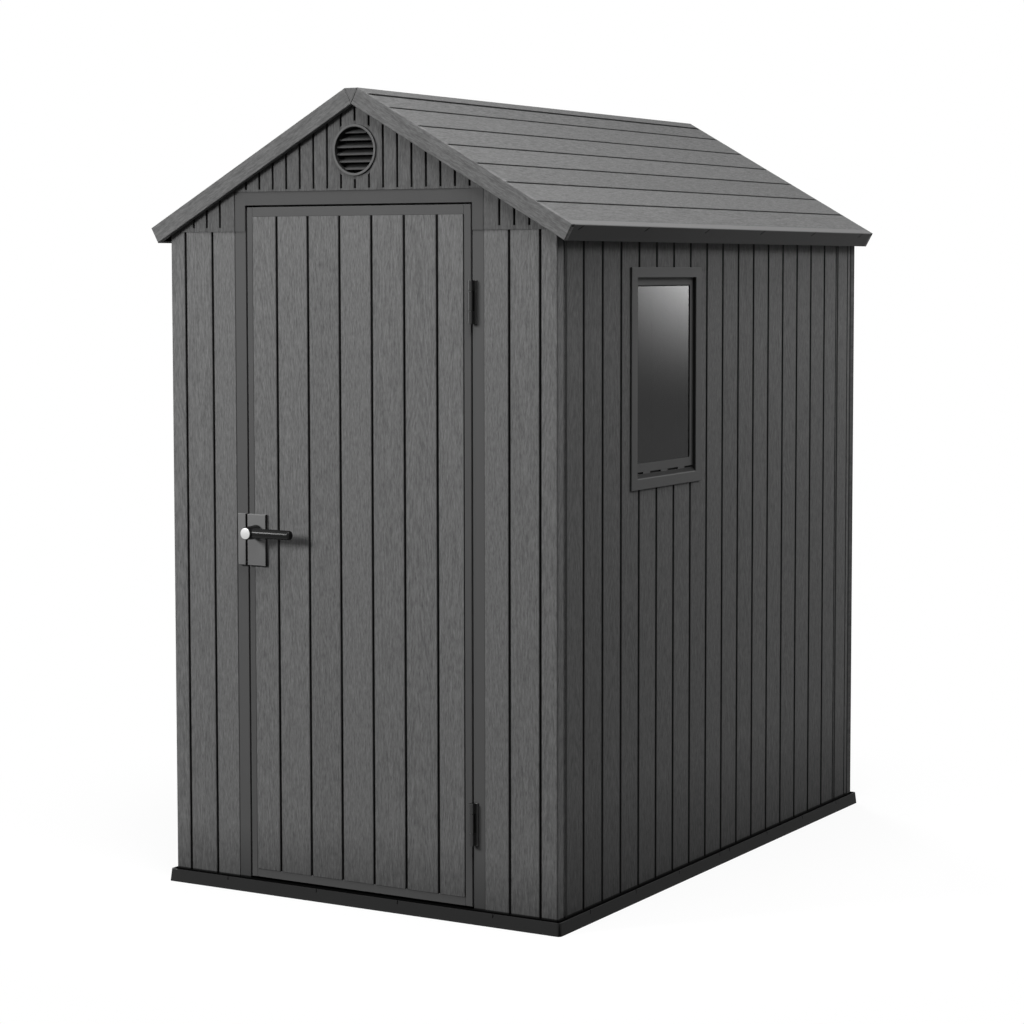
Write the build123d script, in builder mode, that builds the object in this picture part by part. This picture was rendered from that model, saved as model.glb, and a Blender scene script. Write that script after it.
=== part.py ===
from build123d import *
from math import atan2, cos, sin, tan, degrees
import os

os.makedirs("parts", exist_ok=True)

# A small moulded resin garden shed: plank-effect wall panels on a tray floor, a gable roof,
# one outward-opening door on a vertical hinge line and one fixed window.
# The front faces -Y, +X is to the right and the origin is at the middle of the floor's underside.

# Overall
ridge_height = 2050.0
roof_rise = 340.0
shed_width = 1152.0
shed_length = 1786.0

# Roof
eave_overhang = 49.5
verge_overhang = 18.0
ridge_flat = 39.0
roof_thickness = 28.0
cap_reach = 54.0
cap_groove_mouth = 8.0
cap_groove_floor = 6.0
cap_groove_depth = 5.0
eave_trim_width = 22.0
eave_trim_depth = 44.0
eave_trim_lip = 8.0
eave_trim_round = 3.0
fascia_depth = 44.0
fascia_thickness = 14.0
fascia_edge = 1.5
fascia_groove_stop = 3.0
keystone_edge = 1.5
roof_groove_first = 113.0
roof_groove_pitch = 95.3
roof_groove_count = 6

# Slanting clip notches along the eave trims
notch_length = 22.0
notch_width = 3.0
notch_depth = 2.0
notch_lean = 30.0
notch_drop = 9.0
notch_pitch = 337.0
notch_count = 6
notch_shift = -16.5

# Floor tray
floor_margin = 15.5
floor_corner_radius = 10.0
rim_batter = 3.0
lip_height = 32.0
lip_thickness = 4.0
gutter_depth = 8.0
rim_height = 34.0
deck_height = 28.0
deck_skin = 8.0
rim_wall = 16.0
floor_rib = 8.0
spine_half_width = 24.0
cell_count_across = 4
cell_count_along = 12
lap_width = 12.0
lap_height = 10.0

# Clip marks in the shoulder of the floor's rim
rim_mark_width = 3.0
rim_mark_depth = 2.5
rim_mark_height = 9.0
side_mark_first = 30.0
side_mark_pitch = 241.0
side_mark_count = 4
end_mark_first = 123.0
end_mark_pitch = 278.0
end_mark_count = 2

# Wall panels
side_wall_thickness = 28.0
front_wall_thickness = 36.0
rear_wall_thickness = 28.0
corner_radius = 5.0
corner_groove_inset = 31.7
gable_corner = 6.5
field_step = 2.0
field_bevel = 1.5
gable_step = 2.0
groove_mouth = 6.5
groove_floor = 3.0
groove_depth = 4.0
inner_groove_mouth = 4.0
inner_groove_floor = 2.0
inner_groove_depth = 1.5
groove_lip = 0.5
side_groove_pitch = 95.7
side_groove_count_front = 8
side_groove_count_rear = 7
side_groove_last_pitch = 84.5
side_groove_last_count = 2
back_groove_count = 5
front_groove_inset = 71.5
front_groove_pitch = 86.0
front_groove_count = 2

# Doorway
doorway_half = 338.5
jamb_strip = 32.0
stop_lip = 12.0
stop_thickness = 6.0
header_depth = 34.0

# Gable
gable_reach = 408.5
gable_groove_pitch = 41.6
gable_groove_count = 8
gable_groove_foot = 5.0
wing_groove_inset = 45.5
wing_groove_count = 3
wing_groove_foot = 10.0
back_gable_groove_count = 12

# Vent in the front gable
vent_rise = 98.5
vent_bore = 57.0
vent_ring_outer = 64.0
vent_boss = 72.0
vent_proud = 4.0
vent_ring_edge = 1.6
vent_sleeve = 3.0
vent_slat_count = 6
vent_slat_pitch = 18.0
vent_slat_depth = 24.0
vent_slat_thickness = 2.5
vent_slat_angle = 40.0
vent_slat_lift = 3.7
vent_slat_bite = 1.0

# Door leaf
door_gap = 6.5
hinge_gap = 4.0
door_head_gap = 5.0
door_sill_gap = 6.0
door_stile = 17.0
door_rail_top_height = 24.0
door_rail_bottom_height = 22.0
door_frame_edge = 0.8
door_stop_clear = 5.0
door_proud = 2.0
door_groove_pitch = 95.6
door_groove_count = 6

# Hinges
hinge_radius = 6.5
hinge_stand_off = 10.0
hinge_length = 106.0
hinge_below_top = 236.0
hinge_above_bottom = 206.5
hinge_low_share = 0.29
hinge_top_share = 0.25
knuckle_gap = 0.5
pin_radius = 3.0
pin_clearance = 0.05
hinge_leaf_width = 13.0
hinge_leaf_thickness = 4.0

# Latch
lever_height = 935.0
latch_below_lever = 87.0
latch_height = 132.0
latch_plate_width = 57.5
keeper_width = 24.5
latch_thickness = 10.0
latch_edge = 1.5
lever_seat_gap = 0.3
hub_base_radius = 19.0
hub_nose_radius = 16.0
hub_length = 46.0
hub_edge = 1.0
lever_rod_radius = 13.0
lever_rod_end_radius = 12.0
lever_reach = 130.0
lever_rod_stand_off = 31.0
lever_end_edge = 4.0
spindle_radius = 6.0
spindle_clearance = 0.05
cap_radius = 15.0
cap_thickness = 2.5
cap_edge = 0.8

# Window
window_middle = -331.0
window_head = 90.0
window_width = 389.0
window_height = 561.0
flange_side = 30.5
flange_top = 25.5
flange_bottom = 26.0
flange_lap = 14.0
flange_edge = 1.0
frame_proud = 5.0
sash_recess = 10.0
sash_depth = 16.0
sash_stile = 17.5
sash_top_rail = 23.0
sash_bottom_rail = 27.0
sill_rise = 12.0
drain_slot_length = 60.0
drain_slot_height = 5.0
drain_slot_depth = 5.0
drain_slot_pitch = 97.0
drain_slot_inset = 17.0
drain_slot_count = 4
pane_recess = 1.6
pane_thickness = 3.0

# Lines that follow from the sizes above
half_shed = shed_width / 2
half_roof = half_shed + eave_overhang
roof_length = shed_length + 2 * verge_overhang
floor_width = shed_width + 2 * floor_margin
floor_length = shed_length + 2 * floor_margin
eave_height = ridge_height - roof_rise
slope = atan2(roof_rise, half_roof - ridge_flat / 2)
front_face = -shed_length / 2
rear_face = shed_length / 2
strip_face = front_face + field_step
gable_face = front_face - gable_step
gable_strip_face = gable_face + field_step
room_front = front_face + front_wall_thickness
room_rear = rear_face - rear_wall_thickness
room_half = half_shed - side_wall_thickness
stop_front = room_front - stop_thickness
roof_front = -roof_length / 2 + fascia_thickness
roof_rear = roof_length / 2 - fascia_thickness
strip_outer = doorway_half + jamb_strip
door_half = doorway_half - door_gap
door_back = stop_front - door_stop_clear
door_face = front_face - door_proud
door_strip_face = door_face + field_step
hinge_x = doorway_half
hinge_y = door_strip_face - hinge_stand_off


def roof_under(x):
    """Height of the roof panel's underside above a point x from the middle."""
    return eave_height + (half_roof - abs(x)) * tan(slope) - roof_thickness / cos(slope)


def slope_point(along, deep, side=1):
    """A point of the roof's section, measured up the slope from the eave and square into it."""
    x = half_roof - along * cos(slope) - deep * sin(slope)
    z = eave_height + along * sin(slope) - deep * cos(slope)
    return (side * x, z)


slope_length = roof_rise / sin(slope)
cap_line = slope_length - cap_reach + ridge_flat / 2
fascia_apex = ridge_height + ridge_flat / 2 * tan(slope) - fascia_depth / cos(slope)
panel_top = roof_under(half_shed) - gable_corner
header_top = roof_under(gable_reach)
doorway_top = header_top - header_depth
door_top = doorway_top - door_head_gap
door_bottom = rim_height + door_sill_gap
vent_height = header_top + vent_rise


def groove_section(mouth, floor, depth):
    """The section of a groove between two planks, its mouth at the origin and its floor at -Y."""
    with BuildSketch() as section:
        with BuildLine():
            Polyline(
                (-mouth / 2, groove_lip),
                (-mouth / 2, 0),
                (-floor / 2, -depth),
                (floor / 2, -depth),
                (mouth / 2, 0),
                (mouth / 2, groove_lip),
                close=True,
            )
        make_face()
    return section.sketch


outer_groove = groove_section(groove_mouth, groove_floor, groove_depth)
inner_groove = groove_section(inner_groove_mouth, inner_groove_floor, inner_groove_depth)
cap_groove = groove_section(cap_groove_mouth, cap_groove_floor, cap_groove_depth)


def draw_grooves(section, places, mode=Mode.SUBTRACT):
    """Lay a groove's section on the sketch at each (x, y, turn)."""
    with Locations(*[Location((x, y), turn) for x, y, turn in places]):
        add(section, mode=mode)


def save_piece(piece, label):
    """Name a finished piece and write it to its own file."""
    piece.part.label = label
    export_step(piece.part, f"parts/{label}.step")


# Floor tray: two halves that lap along the middle, with a ribbed underside. A thin battered lip runs
# round the foot of the walls, with a narrow gutter between them

cell_width = (floor_width / 2 - rim_wall - spine_half_width + floor_rib) / cell_count_across
cell_length = (floor_length - 2 * rim_wall + floor_rib) / cell_count_along
shoulder_width = floor_width - 2 * rim_batter
shoulder_length = floor_length - 2 * rim_batter
side_marks = [side_mark_first + i * side_mark_pitch for i in range(side_mark_count)]
end_marks = [end_mark_first + i * end_mark_pitch for i in range(end_mark_count)]


def floor_half(side):
    with BuildPart() as tray:
        with BuildSketch(Plane.XY):
            RectangleRounded(floor_width, floor_length, floor_corner_radius)
        with BuildSketch(Plane.XY.offset(lip_height)):
            RectangleRounded(shoulder_width, shoulder_length, floor_corner_radius)
        loft()
        with BuildSketch(Plane.XY.offset(lip_height - gutter_depth)):
            RectangleRounded(
                shoulder_width - 2 * lip_thickness,
                shoulder_length - 2 * lip_thickness,
                floor_corner_radius - lip_thickness,
            )
        extrude(amount=gutter_depth, mode=Mode.SUBTRACT)
        with BuildSketch(Plane.XY.offset(lip_height - gutter_depth)):
            RectangleRounded(shed_width, shed_length, corner_radius)
        extrude(amount=rim_height - lip_height + gutter_depth)
        with BuildSketch(Plane.XY.offset(deck_height)):
            with Locations((0, (room_front + room_rear) / 2)):
                Rectangle(2 * room_half, room_rear - room_front)
        extrude(amount=rim_height, mode=Mode.SUBTRACT)
        with BuildSketch(Plane.XY):
            field_middle = spine_half_width + (cell_count_across * cell_width - floor_rib) / 2
            with Locations((side * field_middle, 0)):
                with GridLocations(cell_width, cell_length, cell_count_across, cell_count_along):
                    Rectangle(cell_width - floor_rib, cell_length - floor_rib)
        extrude(amount=deck_height - deck_skin, mode=Mode.SUBTRACT)
        with BuildSketch(Plane.XY.offset(lip_height - rim_mark_height)):
            for end in (-1, 1):
                with Locations(*[(side * shoulder_width / 2, end * y) for y in side_marks]):
                    Rectangle(2 * rim_mark_depth, rim_mark_width)
                with Locations(*[(side * x, end * shoulder_length / 2) for x in end_marks]):
                    Rectangle(rim_mark_width, 2 * rim_mark_depth)
        extrude(amount=rim_mark_height, mode=Mode.SUBTRACT)
        keep_edge = Align.MAX if side > 0 else Align.MIN
        with Locations((0, 0, lap_height)):
            Box(
                floor_width, 2 * floor_length, 2 * rim_height,
                align=(keep_edge, Align.CENTER, Align.MIN), mode=Mode.SUBTRACT,
            )
        with Locations((lap_width, 0, 0)):
            Box(
                floor_width, 2 * floor_length, lap_height,
                align=(keep_edge, Align.CENTER, Align.MIN), mode=Mode.SUBTRACT,
            )
    return tray


floor_left = floor_half(-1)
save_piece(floor_left, "floor_left")
floor_right = floor_half(1)
save_piece(floor_right, "floor_right")

# Side walls: a front and a rear panel each, meeting at a groove in the middle


def side_wall(side, start, end, groove_places, has_window):
    with BuildPart() as wall:
        with BuildSketch(Plane.XY.offset(rim_height)):
            with Locations((side * (half_shed + room_half) / 2, (start + end) / 2)):
                Rectangle(side_wall_thickness, end - start)
            draw_grooves(outer_groove, [(side * half_shed, y, -90 * side) for y in groove_places])
            draw_grooves(inner_groove, [(side * room_half, y, 90 * side) for y in groove_places])
        extrude(amount=eave_height)
        lean = Plane(
            origin=(side * half_shed, 0, roof_under(half_shed)),
            z_dir=(side * sin(slope), 0, cos(slope)),
        )
        split(bisect_by=lean, keep=Keep.BOTTOM)
        if has_window:
            with BuildSketch(Plane.YZ.offset(room_half)):
                with Locations((window_middle, window_bottom + window_height / 2)):
                    Rectangle(window_width - 2 * flange_lap, window_height - 2 * flange_lap)
            extrude(amount=side_wall_thickness, mode=Mode.SUBTRACT)
    return wall


window_top = panel_top - window_head
window_bottom = window_top - window_height
front_grooves = [-i * side_groove_pitch for i in range(side_groove_count_front + 1)]
rear_grooves = [i * side_groove_pitch for i in range(side_groove_count_rear + 1)]
last_full = rear_grooves[-1]
rear_grooves += [last_full + (i + 1) * side_groove_last_pitch for i in range(side_groove_last_count)]

right_wall_front = side_wall(1, room_front, 0, front_grooves, True)
save_piece(right_wall_front, "right_wall_front")
right_wall_rear = side_wall(1, 0, room_rear, rear_grooves, False)
save_piece(right_wall_rear, "right_wall_rear")
left_wall_front = side_wall(-1, room_front, 0, front_grooves, False)
save_piece(left_wall_front, "left_wall_front")
left_wall_rear = side_wall(-1, 0, room_rear, rear_grooves, False)
save_piece(left_wall_rear, "left_wall_rear")

# Front wall: a narrow planked panel each side of the doorway, with a plain jamb strip,
# and a thin lip behind the door for it to close against


def front_wall(side):
    with BuildPart() as wall:
        with BuildSketch(Plane.XY.offset(rim_height)):
            with BuildLine():
                Polyline(
                    (side * half_shed, front_face),
                    (side * (strip_outer + field_bevel), front_face),
                    (side * strip_outer, strip_face),
                    (side * doorway_half, strip_face),
                    (side * doorway_half, stop_front),
                    (side * (doorway_half - stop_lip), stop_front),
                    (side * (doorway_half - stop_lip), room_front),
                    (side * half_shed, room_front),
                    close=True,
                )
            make_face()
            outer_corner = (side * half_shed, front_face)
            fillet(vertices().sort_by_distance(outer_corner)[0], corner_radius)
            first_x = strip_outer + front_groove_inset
            places = [first_x + i * front_groove_pitch for i in range(front_groove_count)]
            draw_grooves(outer_groove, [(side * x, front_face, 180) for x in places])
            corner_y = front_face + corner_groove_inset
            draw_grooves(outer_groove, [(side * half_shed, corner_y, -90 * side)])
        extrude(amount=panel_top - rim_height)
    return wall


front_wall_left = front_wall(-1)
save_piece(front_wall_left, "front_wall_left")
front_wall_right = front_wall(1)
save_piece(front_wall_right, "front_wall_right")

# Gable over the door: two wings beside it, a plain header over it and the planked triangle above


def gable_wing(side):
    with BuildPart() as wing:
        with BuildSketch(Plane.XZ.offset(-room_front)):
            with BuildLine():
                Polyline(
                    (side * doorway_half, panel_top),
                    (side * half_shed, panel_top),
                    (side * half_shed, roof_under(half_shed)),
                    (side * gable_reach, header_top),
                    (side * doorway_half, header_top),
                    close=True,
                )
            make_face()
        extrude(amount=room_front - gable_face)
        with BuildSketch(Plane.XY.offset(panel_top)):
            with Locations((side * (doorway_half + jamb_strip / 2), gable_face)):
                Rectangle(jamb_strip, 2 * field_step)
        extrude(amount=header_top - panel_top, mode=Mode.SUBTRACT)
        with BuildSketch(Plane.XY.offset(panel_top + wing_groove_foot)):
            first_x = strip_outer + wing_groove_inset
            places = [first_x + i * gable_groove_pitch for i in range(wing_groove_count)]
            draw_grooves(outer_groove, [(side * x, gable_face, 180) for x in places], Mode.ADD)
        extrude(amount=header_top, mode=Mode.SUBTRACT)
        with BuildSketch(Plane.XZ.offset(-room_front)):
            with Locations((side * (doorway_half - stop_lip / 2), panel_top)):
                Rectangle(stop_lip, doorway_top - panel_top, align=(Align.CENTER, Align.MIN))
        extrude(amount=stop_thickness)
    return wing


gable_wing_left = gable_wing(-1)
save_piece(gable_wing_left, "gable_wing_left")
gable_wing_right = gable_wing(1)
save_piece(gable_wing_right, "gable_wing_right")

with BuildPart() as door_header:
    with BuildSketch(Plane.YZ.offset(-doorway_half)):
        with Locations(((gable_strip_face + room_front) / 2, (doorway_top + header_top) / 2)):
            Rectangle(room_front - gable_strip_face, header_depth)
    extrude(amount=2 * doorway_half)
    with BuildSketch(Plane.YZ.offset(-(doorway_half - stop_lip))):
        with Locations(((stop_front + room_front) / 2, doorway_top)):
            Rectangle(stop_thickness, stop_lip, align=(Align.CENTER, Align.MAX))
    extrude(amount=2 * (doorway_half - stop_lip))
save_piece(door_header, "door_header")

with BuildPart() as front_gable:
    with BuildSketch(Plane.XZ.offset(-room_front)):
        with BuildLine():
            Polyline(
                (-gable_reach, header_top),
                (gable_reach, header_top),
                (0, roof_under(0)),
                close=True,
            )
        make_face()
    extrude(amount=room_front - gable_face)
    with BuildSketch(Plane.XY.offset(header_top + gable_groove_foot)):
        steps = range(-gable_groove_count, gable_groove_count + 1)
        places = [(i * gable_groove_pitch, gable_face, 180) for i in steps]
        draw_grooves(outer_groove, places, Mode.ADD)
    extrude(amount=ridge_height, mode=Mode.SUBTRACT)
    with BuildSketch(Plane.XZ.offset(-room_front)):
        with Locations((0, vent_height)):
            Circle(vent_boss)
    extrude(amount=room_front - gable_face)
    with BuildSketch(Plane.XZ.offset(-room_front)):
        with Locations((0, vent_height)):
            Circle(vent_bore + vent_sleeve)
    extrude(amount=room_front - gable_face, mode=Mode.SUBTRACT)
save_piece(front_gable, "front_gable")

# Vent: a round ring with a sleeve through the gable and sloping slats across it

with BuildPart() as gable_vent:
    for i in range(vent_slat_count):
        slat_z = vent_height + vent_slat_lift + (i - (vent_slat_count - 1) / 2) * vent_slat_pitch
        slat_y = gable_face + vent_slat_depth / 2
        with Locations(Location((0, slat_y, slat_z), (vent_slat_angle, 0, 0))):
            Box(2 * vent_ring_outer, vent_slat_depth, vent_slat_thickness)
    with BuildSketch(Plane.XZ.offset(-room_front)):
        with Locations((0, vent_height)):
            Circle(vent_bore + vent_slat_bite)
    extrude(amount=2 * front_wall_thickness, mode=Mode.INTERSECT)
    with BuildSketch(Plane.XZ.offset(-room_front)):
        with Locations((0, vent_height)):
            Circle(vent_bore + vent_sleeve)
            Circle(vent_bore, mode=Mode.SUBTRACT)
    extrude(amount=room_front - gable_face)
    with BuildSketch(Plane.XZ.offset(-gable_face)):
        with Locations((0, vent_height)):
            Circle(vent_ring_outer)
            Circle(vent_bore, mode=Mode.SUBTRACT)
    extrude(amount=vent_proud)
    ring_edges = edges().filter_by(GeomType.CIRCLE).group_by(Axis.Y)[0]
    chamfer(ring_edges, vent_ring_edge)
save_piece(gable_vent, "gable_vent")

# Back wall: two planked panels and the gable above them


def back_wall(side):
    with BuildPart() as wall:
        with BuildSketch(Plane.XY.offset(rim_height)):
            with Locations((side * half_shed / 2, (rear_face + room_rear) / 2)):
                Rectangle(half_shed, rear_wall_thickness)
            outer_corner = (side * half_shed, rear_face)
            fillet(vertices().sort_by_distance(outer_corner)[0], corner_radius)
            places = [side * i * side_groove_pitch for i in range(back_groove_count + 1)]
            draw_grooves(outer_groove, [(x, rear_face, 0) for x in places])
            draw_grooves(inner_groove, [(x, room_rear, 180) for x in places])
        extrude(amount=panel_top - rim_height)
    return wall


back_wall_left = back_wall(-1)
save_piece(back_wall_left, "back_wall_left")
back_wall_right = back_wall(1)
save_piece(back_wall_right, "back_wall_right")

with BuildPart() as back_gable:
    with BuildSketch(Plane.XZ.offset(-room_rear)):
        with BuildLine():
            Polyline(
                (-half_shed, panel_top),
                (half_shed, panel_top),
                (half_shed, roof_under(half_shed)),
                (0, roof_under(0)),
                (-half_shed, roof_under(half_shed)),
                close=True,
            )
        make_face()
    extrude(amount=-(rear_wall_thickness + gable_step))
    with BuildSketch(Plane.XY.offset(panel_top + wing_groove_foot)):
        steps = range(-back_gable_groove_count, back_gable_groove_count + 1)
        places = [(i * gable_groove_pitch, rear_face + gable_step, 0) for i in steps]
        draw_grooves(outer_groove, places, Mode.ADD)
    extrude(amount=ridge_height, mode=Mode.SUBTRACT)
save_piece(back_gable, "back_gable")

# Roof: two planked panels, a cap over the ridge, trims along the eaves and boards on the verges.
# The grooves run on into the boards and stop just short of their outer faces


def roof_lines(side, distances, deep=0, turn_over=0):
    """Places and turns of grooves in the roof's section, from their distances up the slope."""
    turn = -side * degrees(slope) + turn_over
    return [(*slope_point(s, deep, side), turn) for s in distances]


groove_distances = [roof_groove_first + i * roof_groove_pitch for i in range(roof_groove_count)]


def roof_panel(side):
    with BuildPart() as panel:
        with BuildSketch(Plane.XZ.offset(-roof_rear)):
            with BuildLine():
                Polyline(
                    slope_point(eave_trim_width, 0, side),
                    slope_point(cap_line, 0, side),
                    slope_point(cap_line, roof_thickness, side),
                    slope_point(eave_trim_width, roof_thickness, side),
                    close=True,
                )
            make_face()
            draw_grooves(outer_groove, roof_lines(side, groove_distances))
            draw_grooves(inner_groove, roof_lines(side, groove_distances, roof_thickness, 180))
            draw_grooves(cap_groove, roof_lines(side, [cap_line]))
        extrude(amount=roof_rear - roof_front)
    return panel


roof_left = roof_panel(-1)
save_piece(roof_left, "roof_left")
roof_right = roof_panel(1)
save_piece(roof_right, "roof_right")

with BuildPart() as ridge_cap:
    with BuildSketch(Plane.XZ.offset(-roof_rear)):
        with BuildLine():
            Polyline(
                (-ridge_flat / 2, ridge_height),
                (ridge_flat / 2, ridge_height),
                slope_point(cap_line, 0, 1),
                slope_point(cap_line, roof_thickness, 1),
                (0, roof_under(0)),
                slope_point(cap_line, roof_thickness, -1),
                slope_point(cap_line, 0, -1),
                close=True,
            )
        make_face()
        draw_grooves(cap_groove, roof_lines(1, [cap_line]) + roof_lines(-1, [cap_line]))
    extrude(amount=roof_rear - roof_front)
    for start, end in ((roof_front, -roof_length / 2), (roof_rear, roof_length / 2)):
        with BuildSketch(Plane.XZ.offset(-start)):
            with BuildLine():
                Polyline(
                    (-ridge_flat / 2, ridge_height),
                    (ridge_flat / 2, ridge_height),
                    (0, fascia_apex),
                    close=True,
                )
            make_face()
        extrude(amount=start - end)
    chamfer(faces().sort_by(Axis.Y)[0].edges(), keystone_edge)
    chamfer(faces().sort_by(Axis.Y)[-1].edges(), keystone_edge)
save_piece(ridge_cap, "ridge_cap")


def eave_trim(side):
    with BuildPart() as trim:
        with BuildSketch(Plane.XZ.offset(-roof_rear)):
            with BuildLine():
                Polyline(
                    slope_point(0, 0, side),
                    slope_point(eave_trim_width, 0, side),
                    slope_point(eave_trim_width, roof_thickness, side),
                    slope_point(eave_trim_lip, roof_thickness, side),
                    slope_point(eave_trim_lip, eave_trim_depth, side),
                    slope_point(0, eave_trim_depth, side),
                    close=True,
                )
            make_face()
            upper_corner = slope_point(0, 0, side)
            fillet(vertices().sort_by_distance(upper_corner)[0], eave_trim_round)
        extrude(amount=roof_rear - roof_front)
        notch_x, notch_z = slope_point(0, notch_drop, side)
        outer_side = Plane(
            origin=(notch_x, 0, notch_z),
            x_dir=(0, side, 0),
            z_dir=(side * cos(slope), 0, -sin(slope)),
        )
        with BuildSketch(outer_side):
            with Locations((side * notch_shift, 0)):
                with GridLocations(notch_pitch, notch_pitch, notch_count, 1):
                    Rectangle(notch_length, notch_width, rotation=side * notch_lean)
        extrude(amount=-notch_depth, mode=Mode.SUBTRACT)
    return trim


eave_trim_left = eave_trim(-1)
save_piece(eave_trim_left, "eave_trim_left")
eave_trim_right = eave_trim(1)
save_piece(eave_trim_right, "eave_trim_right")


def fascia(side, front, outward):
    with BuildPart() as board:
        with BuildSketch(Plane.XZ.offset(-front)):
            with BuildLine():
                Polyline(
                    (0, fascia_apex),
                    (side * ridge_flat / 2, ridge_height),
                    slope_point(0, 0, side),
                    slope_point(0, fascia_depth, side),
                    close=True,
                )
            make_face()
        extrude(amount=-fascia_thickness)
        outer = faces().sort_by(Axis.Y)[0 if outward < 0 else -1]
        chamfer(outer.edges(), fascia_edge)
        groove_start = front + fascia_groove_stop if outward < 0 else front
        with BuildSketch(Plane.XZ.offset(-groove_start)):
            draw_grooves(outer_groove, roof_lines(side, groove_distances), Mode.ADD)
            draw_grooves(cap_groove, roof_lines(side, [cap_line]), Mode.ADD)
        extrude(amount=-(fascia_thickness - fascia_groove_stop), mode=Mode.SUBTRACT)
    return board


front_fascia_left = fascia(-1, -roof_length / 2, -1)
save_piece(front_fascia_left, "front_fascia_left")
front_fascia_right = fascia(1, -roof_length / 2, -1)
save_piece(front_fascia_right, "front_fascia_right")
rear_fascia_left = fascia(-1, roof_rear, 1)
save_piece(rear_fascia_left, "rear_fascia_left")
rear_fascia_right = fascia(1, roof_rear, 1)
save_piece(rear_fascia_right, "rear_fascia_right")

# Window: an outer frame that laps the wall, a recessed sash and its pane

opening_start = window_middle - window_width / 2 + flange_side
opening_end = window_middle + window_width / 2 - flange_side
opening_bottom = window_bottom + flange_bottom
opening_top = window_top - flange_top
opening_middle = ((opening_start + opening_end) / 2, (opening_bottom + opening_top) / 2)
opening_width = opening_end - opening_start
opening_height = opening_top - opening_bottom
sash_face = half_shed + frame_proud - sash_recess
sill_top = opening_bottom + sill_rise
pane_bottom = sill_top + sash_bottom_rail
pane_top = opening_top - sash_top_rail
pane_middle = (opening_middle[0], (pane_bottom + pane_top) / 2)
pane_width = opening_width - 2 * sash_stile

with BuildPart() as window_frame:
    with BuildSketch(Plane.YZ.offset(half_shed)):
        with Locations((window_middle, window_bottom + window_height / 2)):
            Rectangle(window_width, window_height)
    extrude(amount=frame_proud)
    chamfer(faces().sort_by(Axis.X)[-1].edges(), flange_edge)
    with BuildSketch(Plane.YZ.offset(room_half)):
        with Locations((window_middle, window_bottom + window_height / 2)):
            Rectangle(window_width - 2 * flange_lap, window_height - 2 * flange_lap)
    extrude(amount=side_wall_thickness)
    with BuildSketch(Plane.YZ.offset(room_half)):
        with Locations(opening_middle):
            Rectangle(opening_width, opening_height)
    extrude(amount=side_wall_thickness + frame_proud, mode=Mode.SUBTRACT)
    with BuildSketch(Plane.XZ.offset(-opening_start)):
        with BuildLine():
            Polyline(
                (half_shed + frame_proud, opening_bottom),
                (sash_face, sill_top),
                (sash_face, opening_bottom),
                close=True,
            )
        make_face()
    extrude(amount=-opening_width)
save_piece(window_frame, "window_frame")

with BuildPart() as window_sash:
    with BuildSketch(Plane.YZ.offset(sash_face - sash_depth)):
        with Locations(opening_middle):
            Rectangle(opening_width, opening_height)
        with Locations(pane_middle):
            Rectangle(pane_width, pane_top - pane_bottom, mode=Mode.SUBTRACT)
    extrude(amount=sash_depth)
    with BuildSketch(Plane.YZ.offset(sash_face)):
        first_y = opening_end - drain_slot_inset
        with Locations(*[(first_y - i * drain_slot_pitch, sill_top) for i in range(drain_slot_count)]):
            Rectangle(drain_slot_length, drain_slot_height, align=(Align.CENTER, Align.MIN))
    extrude(amount=-drain_slot_depth, mode=Mode.SUBTRACT)
save_piece(window_sash, "window_sash")

with BuildPart() as window_pane:
    with BuildSketch(Plane.YZ.offset(sash_face - pane_recess - pane_thickness)):
        with Locations(pane_middle):
            Rectangle(pane_width, pane_top - pane_bottom)
    extrude(amount=pane_thickness)
save_piece(window_pane, "window_pane")

# Door leaf: a planked panel in a slim frame of stiles and rails

field_half = door_half - door_stile
field_bottom = door_bottom + door_rail_bottom_height
field_top = door_top - door_rail_top_height

with BuildPart() as door_panel:
    with BuildSketch(Plane.XY.offset(field_bottom)):
        with BuildLine():
            Polyline(
                (-field_half, door_back),
                (field_half, door_back),
                (field_half, door_strip_face),
                (field_half - field_bevel, door_face),
                (-field_half + field_bevel, door_face),
                (-field_half, door_strip_face),
                close=True,
            )
        make_face()
        places = [(i - (door_groove_count - 1) / 2) * door_groove_pitch for i in range(door_groove_count)]
        draw_grooves(outer_groove, [(x, door_face, 180) for x in places])
        draw_grooves(inner_groove, [(x, door_back, 0) for x in places])
    extrude(amount=field_top - field_bottom)
save_piece(door_panel, "door_panel")


def door_stile_piece(side, outer_edge):
    with BuildPart() as stile:
        with BuildSketch(Plane.XY.offset(door_bottom)):
            with Locations((side * (field_half + outer_edge) / 2, (door_strip_face + door_back) / 2)):
                Rectangle(outer_edge - field_half, door_back - door_strip_face)
        extrude(amount=door_top - door_bottom)
        chamfer(faces().sort_by(Axis.Y)[0].edges(), door_frame_edge)
    return stile


def door_rail_piece(bottom, height):
    with BuildPart() as rail:
        with BuildSketch(Plane.XY.offset(bottom)):
            with Locations((0, (door_strip_face + door_back) / 2)):
                Rectangle(2 * field_half, door_back - door_strip_face)
        extrude(amount=height)
        chamfer(faces().sort_by(Axis.Y)[0].edges(), door_frame_edge)
    return rail


door_stile_left = door_stile_piece(-1, door_half)
save_piece(door_stile_left, "door_stile_left")
door_stile_right = door_stile_piece(1, doorway_half - hinge_gap)
save_piece(door_stile_right, "door_stile_right")
door_rail_top = door_rail_piece(field_top, door_rail_top_height)
save_piece(door_rail_top, "door_rail_top")
door_rail_bottom = door_rail_piece(door_bottom, door_rail_bottom_height)
save_piece(door_rail_bottom, "door_rail_bottom")

# Hinges: the jamb carries the lowest and highest knuckle and the pin, the door carries the middle one


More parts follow.
